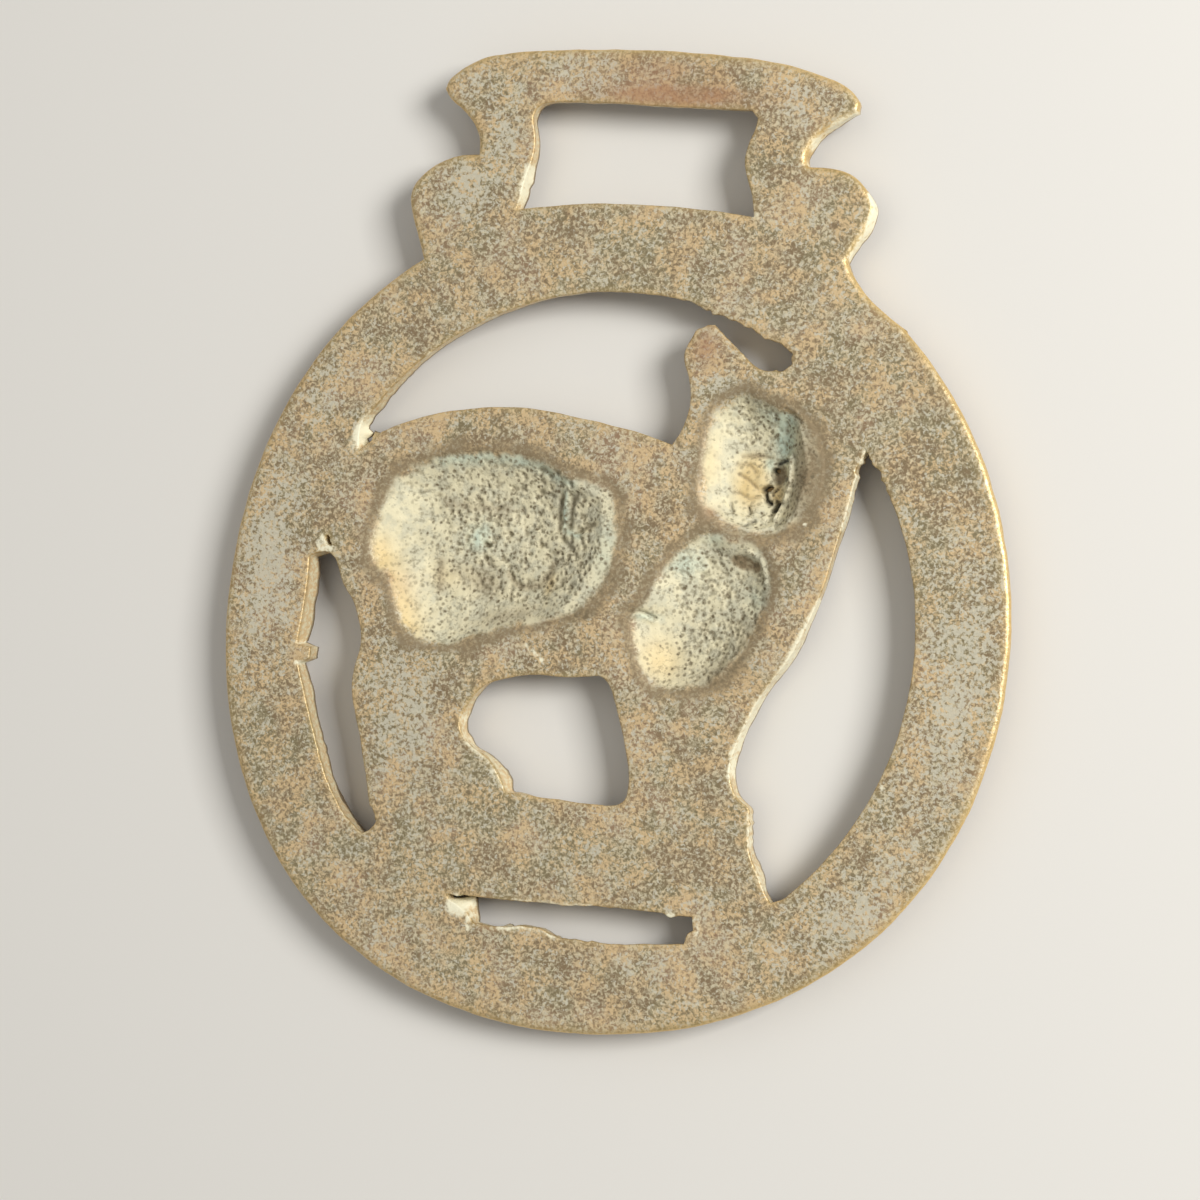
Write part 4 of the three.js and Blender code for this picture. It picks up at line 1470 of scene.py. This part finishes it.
@dataclass(frozen=True)
class AgedBrass:
    """Old cast brass: brown patina with dense pale specks, pale hollows and worn edges, with painted
    shade in pits and holes and painted light on some hollow walls.
    """

    brown: Colour = paint(136, 116, 86)
    olive: Colour = paint(132, 120, 88)
    rosy: Colour = paint(158, 128, 100)
    gold: Colour = paint(214, 187, 142)
    grey: Colour = paint(210, 199, 167)
    # Also the colour of the brown tint, which is partly painted shade under lumps and ledges.
    band: Colour = paint(144, 126, 95)
    bloom: Colour = paint(206, 200, 178)
    crust: Colour = paint(236, 230, 200)
    copper: Colour = paint(168, 122, 88)
    verdigris: Colour = paint(190, 214, 198)
    cream: Colour = paint(224, 215, 180)
    ash: Colour = paint(205, 200, 172)
    # Yellow casting skin, also painted as light on the hollow walls that face the key lamp.
    ochre: Colour = paint(226, 196, 132)
    # Painted shade in pits, grooves and pin holes; also the darker stain in the hollows.
    pit: Colour = paint(112, 100, 74)
    # Nearly black, painted as the shadow in the flaw's deepest holes.
    soot: Colour = paint(34, 26, 18)
    worn: Colour = paint(232, 198, 128)
    relief: Colour = paint(186, 150, 88)

    def flats(self, graph: Graph, tint: dict[Tint, Wire]) -> Wire:
        """Return the colour of the plain metal between the hollows.

        Args:
            graph: The material's graph.
            tint: The strength of each tint.

        Returns:
            A colour.
        """
        drift = graph.noise(6.0, 3.0, 0.6)
        cloud = graph.noise(2.0, 3.0, 0.6, offset=(11.0, 3.0, 5.0))
        hue = graph.noise(3.4, 3.0, 0.6, offset=(31.0, 13.0, 2.0))
        fleck = graph.noise(0.3, 3.0, 0.62, 0.6)
        dab = graph.noise(0.34, 2.0, 0.6, 0.4, (17.0, 9.0, 4.0))
        ground = graph.mix(hue.step(0.4, 0.6), self.brown, self.olive)
        ground = graph.mix(drift.step(0.5, 0.66) * 0.7, ground, self.rosy)
        speck = graph.mix(cloud.step(0.38, 0.62), self.grey, self.gold)
        share = (fleck + (cloud - 0.5) * 0.3 + (drift - 0.5) * 0.2).step(0.38, 0.64)
        colour = graph.mix(share, ground, speck)
        pale = (dab + (hue - 0.5) * 0.25 + tint[Tint.PALE] * 0.15).step(0.55, 0.68)
        colour = graph.mix(pale * 0.85, colour, self.bloom)
        # Brown patina, partly painted shade under lumps and ledges.
        brown = (tint[Tint.BROWN] * (1.0 - share * 0.4)).clamped()
        colour = graph.mix(brown, colour, self.band)
        copper = (tint[Tint.COPPER] * (cloud + 0.35)).clamped() * 0.75
        colour = graph.mix(copper, colour, self.copper)
        return graph.mix(tint[Tint.BAND] * (0.92 - share * 0.3), colour, self.band)

    def hollows(self, graph: Graph, tint: dict[Tint, Wire]) -> Wire:
        """Return the colour of the rough skin in the hollows.

        Args:
            graph: The material's graph.
            tint: The strength of each tint.

        Returns:
            A colour.
        """
        cloud = graph.noise(1.3, 3.0, 0.6, offset=(7.0, 23.0, 1.0))
        fleck = graph.noise(0.3, 2.0, 0.6, 0.4, (3.0, 5.0, 9.0))
        colour = graph.mix(cloud.step(0.4, 0.62), self.cream, self.ash)
        # Yellow skin, and painted light on the hollow walls that face the key lamp.
        colour = graph.mix((tint[Tint.OCHRE] * (cloud + 0.4)).clamped() * 0.85, colour, self.ochre)
        green = (tint[Tint.VERDIGRIS] * (cloud + 0.35)).clamped() * 0.8
        colour = graph.mix(green, colour, self.verdigris)
        copper = (tint[Tint.COPPER] * (cloud + 0.3)).clamped() * 0.6
        colour = graph.mix(copper, colour, self.copper)
        # Brown patina, partly painted shade under lumps and ledges.
        brown = (tint[Tint.BROWN] * (cloud * 0.8 + fleck + 0.1)).clamped()
        colour = graph.mix(brown, colour, self.band)
        # Painted shade in the pin holes, which have no depth in the mesh, with darker stains among
        # them.
        holes = graph.pin_holes(0.5, 0.13) * (1.0 - tint[Tint.SMOOTH] * 0.8)
        stain = (fleck + (cloud - 0.5) * 0.4 - tint[Tint.SMOOTH] * 0.1).step(0.5, 0.66) * 0.45
        return graph.mix((holes * 0.7 + stain).clamped(), colour, self.pit)

    def material(self) -> bpy.types.Material:
        """Make the material, which reads each tint from the mesh.

        Returns:
            The material.
        """
        graph = Graph("aged_brass")
        tint = {kind: graph.attribute(kind) for kind in Tint}
        fleck = graph.noise(0.36, 2.0, 0.6, 0.5)
        grain = graph.noise(0.16, 2.0, 0.6, offset=(5.0, 9.0, 2.0))

        colour = graph.mix(tint[Tint.HOLLOW], self.flats(graph, tint), self.hollows(graph, tint))
        wall = graph.mix(fleck.step(0.4, 0.65), self.gold, self.cream)
        wall = graph.mix((tint[Tint.OCHRE] * (fleck + 0.3)).clamped(), wall, self.ochre)
        colour = graph.mix(tint[Tint.WALL], colour, wall)
        front = graph.mix(tint[Tint.WORN], self.brown, self.relief)
        colour = graph.mix(tint[Tint.FRONT], colour, front)
        worn = tint[Tint.WORN] * (0.6 + fleck * 0.5) * (1.0 - tint[Tint.FRONT])
        colour = graph.mix(worn.clamped(), colour, self.worn)
        crust = (tint[Tint.CRUST] * (fleck * 1.6 + 0.1)).step(0.25, 0.8)
        colour = graph.mix(crust, colour, self.crust)
        # Painted shade at the bottoms of pits and grooves.
        colour = graph.mix((tint[Tint.PIT] * (0.6 + fleck * 0.5)).clamped(), colour, self.pit)
        # Painted shadow, nearly black, in the deepest holes of the flaw.
        colour = graph.mix((tint[Tint.SOOT] * (0.75 + fleck * 0.5)).clamped(), colour, self.soot)

        metallic = (0.22 + tint[Tint.WORN] * 0.5 - tint[Tint.HOLLOW] * 0.22 - crust
                    + tint[Tint.FRONT] * 0.3).clamped()
        roughness = (0.58 - fleck * 0.1 - tint[Tint.WORN] * 0.2 + tint[Tint.HOLLOW] * 0.14
                     - tint[Tint.FRONT] * 0.12).clamped()
        relief = fleck * (0.6 - tint[Tint.BAND] * 0.4) + grain * 0.35
        normal = graph.node("ShaderNodeBump", inputs={
            "Strength": 0.7, "Distance": 0.08 * MM, "Height": relief}, output="Normal")
        return graph.surface(Base_Color=colour, Metallic=metallic, Roughness=roughness, Normal=normal)


@dataclass(frozen=True)
class PalePaper:
    """The plain, dull, pale sheet that the brass lies on."""

    colour: Colour = paint(226, 223, 216)
    shade: Colour = paint(206, 203, 196)

    def material(self) -> bpy.types.Material:
        """Make the material, with a faint unevenness.

        Returns:
            The material.
        """
        graph = Graph("pale_paper")
        tone = graph.noise(90.0, 2.0)
        colour = graph.mix(tone * 0.06, self.colour, self.shade)
        return graph.surface(Base_Color=colour, Roughness=0.9)


# ------------------------------------------------------------------ studio


@dataclass
class Studio:
    """The floor, the light and the camera."""

    floor_side: float = 1.6             # metres
    key_size: float = 0.22
    key_power: float = 3.3
    key_from: tuple[float, float, float] = (0.42, 0.14, 0.36)
    fill_size: float = 0.9
    fill_power: float = 0.9
    fill_from: tuple[float, float, float] = (-0.35, 0.25, 0.75)
    sky: float = 0.33
    sky_colour: Colour = (1.0, 0.98, 0.95)
    lens: float = 84.0                  # mm
    distance: float = 234.3             # mm, from the camera to where it aims
    aim: tuple[float, float, float] = (0.0, -4.95, 3.8)     # mm
    tilt: tuple[float, float, float] = (2.12, 19.62, 6.11)  # degrees about X, Y and Z

    def floor(self) -> None:
        """Add the pale floor, staged apart from the brass."""
        half = self.floor_side / 2
        mesh = bpy.data.meshes.new("floor")
        mesh.from_pydata([(-half, -half, 0), (half, -half, 0), (half, half, 0), (-half, half, 0)],
                         [], [(0, 1, 2, 3)])
        mesh.materials.append(PalePaper().material())
        floor = bpy.data.objects.new("floor", mesh)
        bpy.context.scene.collection.objects.link(floor)

    def lamp(self, name: str, place: tuple[float, float, float], size: float, power: float) -> None:
        """Add a soft lamp that faces the brass.

        Args:
            name: The lamp's name.
            place: Where it is, in metres.
            size: The side of its square face, in metres.
            power: In watts.
        """
        light = bpy.data.lights.new(name, "AREA")
        light.size, light.energy = size, power
        lamp = bpy.data.objects.new(name, light)
        lamp.location = place
        lamp.rotation_euler = Vector(place).to_track_quat("Z", "Y").to_euler()
        bpy.context.scene.collection.objects.link(lamp)

    def light(self) -> None:
        """Add the lamps and the even light of the room."""
        self.lamp("key_lamp", self.key_from, self.key_size, self.key_power)
        self.lamp("fill_lamp", self.fill_from, self.fill_size, self.fill_power)
        world = bpy.data.worlds.new("room")
        world.use_nodes = True
        background = world.node_tree.nodes["Background"]
        background.inputs["Color"].default_value = (*self.sky_colour, 1.0)
        background.inputs["Strength"].default_value = self.sky
        bpy.context.scene.world = world
        bpy.context.scene.view_settings.view_transform = "Standard"

    def camera(self) -> None:
        """Add the camera, looking down on the brass and leaning to its right."""
        data = bpy.data.cameras.new("camera")
        data.lens = self.lens
        camera = bpy.data.objects.new("camera", data)
        turn = Euler([math.radians(angle) for angle in self.tilt])
        camera.rotation_euler = turn
        back = turn.to_matrix() @ Vector((0, 0, 1))
        camera.location = (Vector(self.aim) + back * self.distance) * MM
        bpy.context.scene.collection.objects.link(camera)
        bpy.context.scene.camera = camera


# ------------------------------------------------------------------ making it


def main() -> None:
    """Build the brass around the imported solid, then the studio."""
    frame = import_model()

    outlines = Outlines.of_node(frame["nodes"][NODE])
    LOG.info("read 1 outer outline, %d openings and %d hollows", len(outlines.openings),
             len(outlines.hollows))
    brass = Casting(outlines).build()
    brass.data.materials.append(AgedBrass().material())
    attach(brass, "root")
    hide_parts(NODE)

    studio = Studio()
    studio.floor()
    studio.light()
    studio.camera()


if __name__ == "__main__":
    logging.basicConfig(level=logging.INFO, format="%(name)s: %(message)s")
    main()
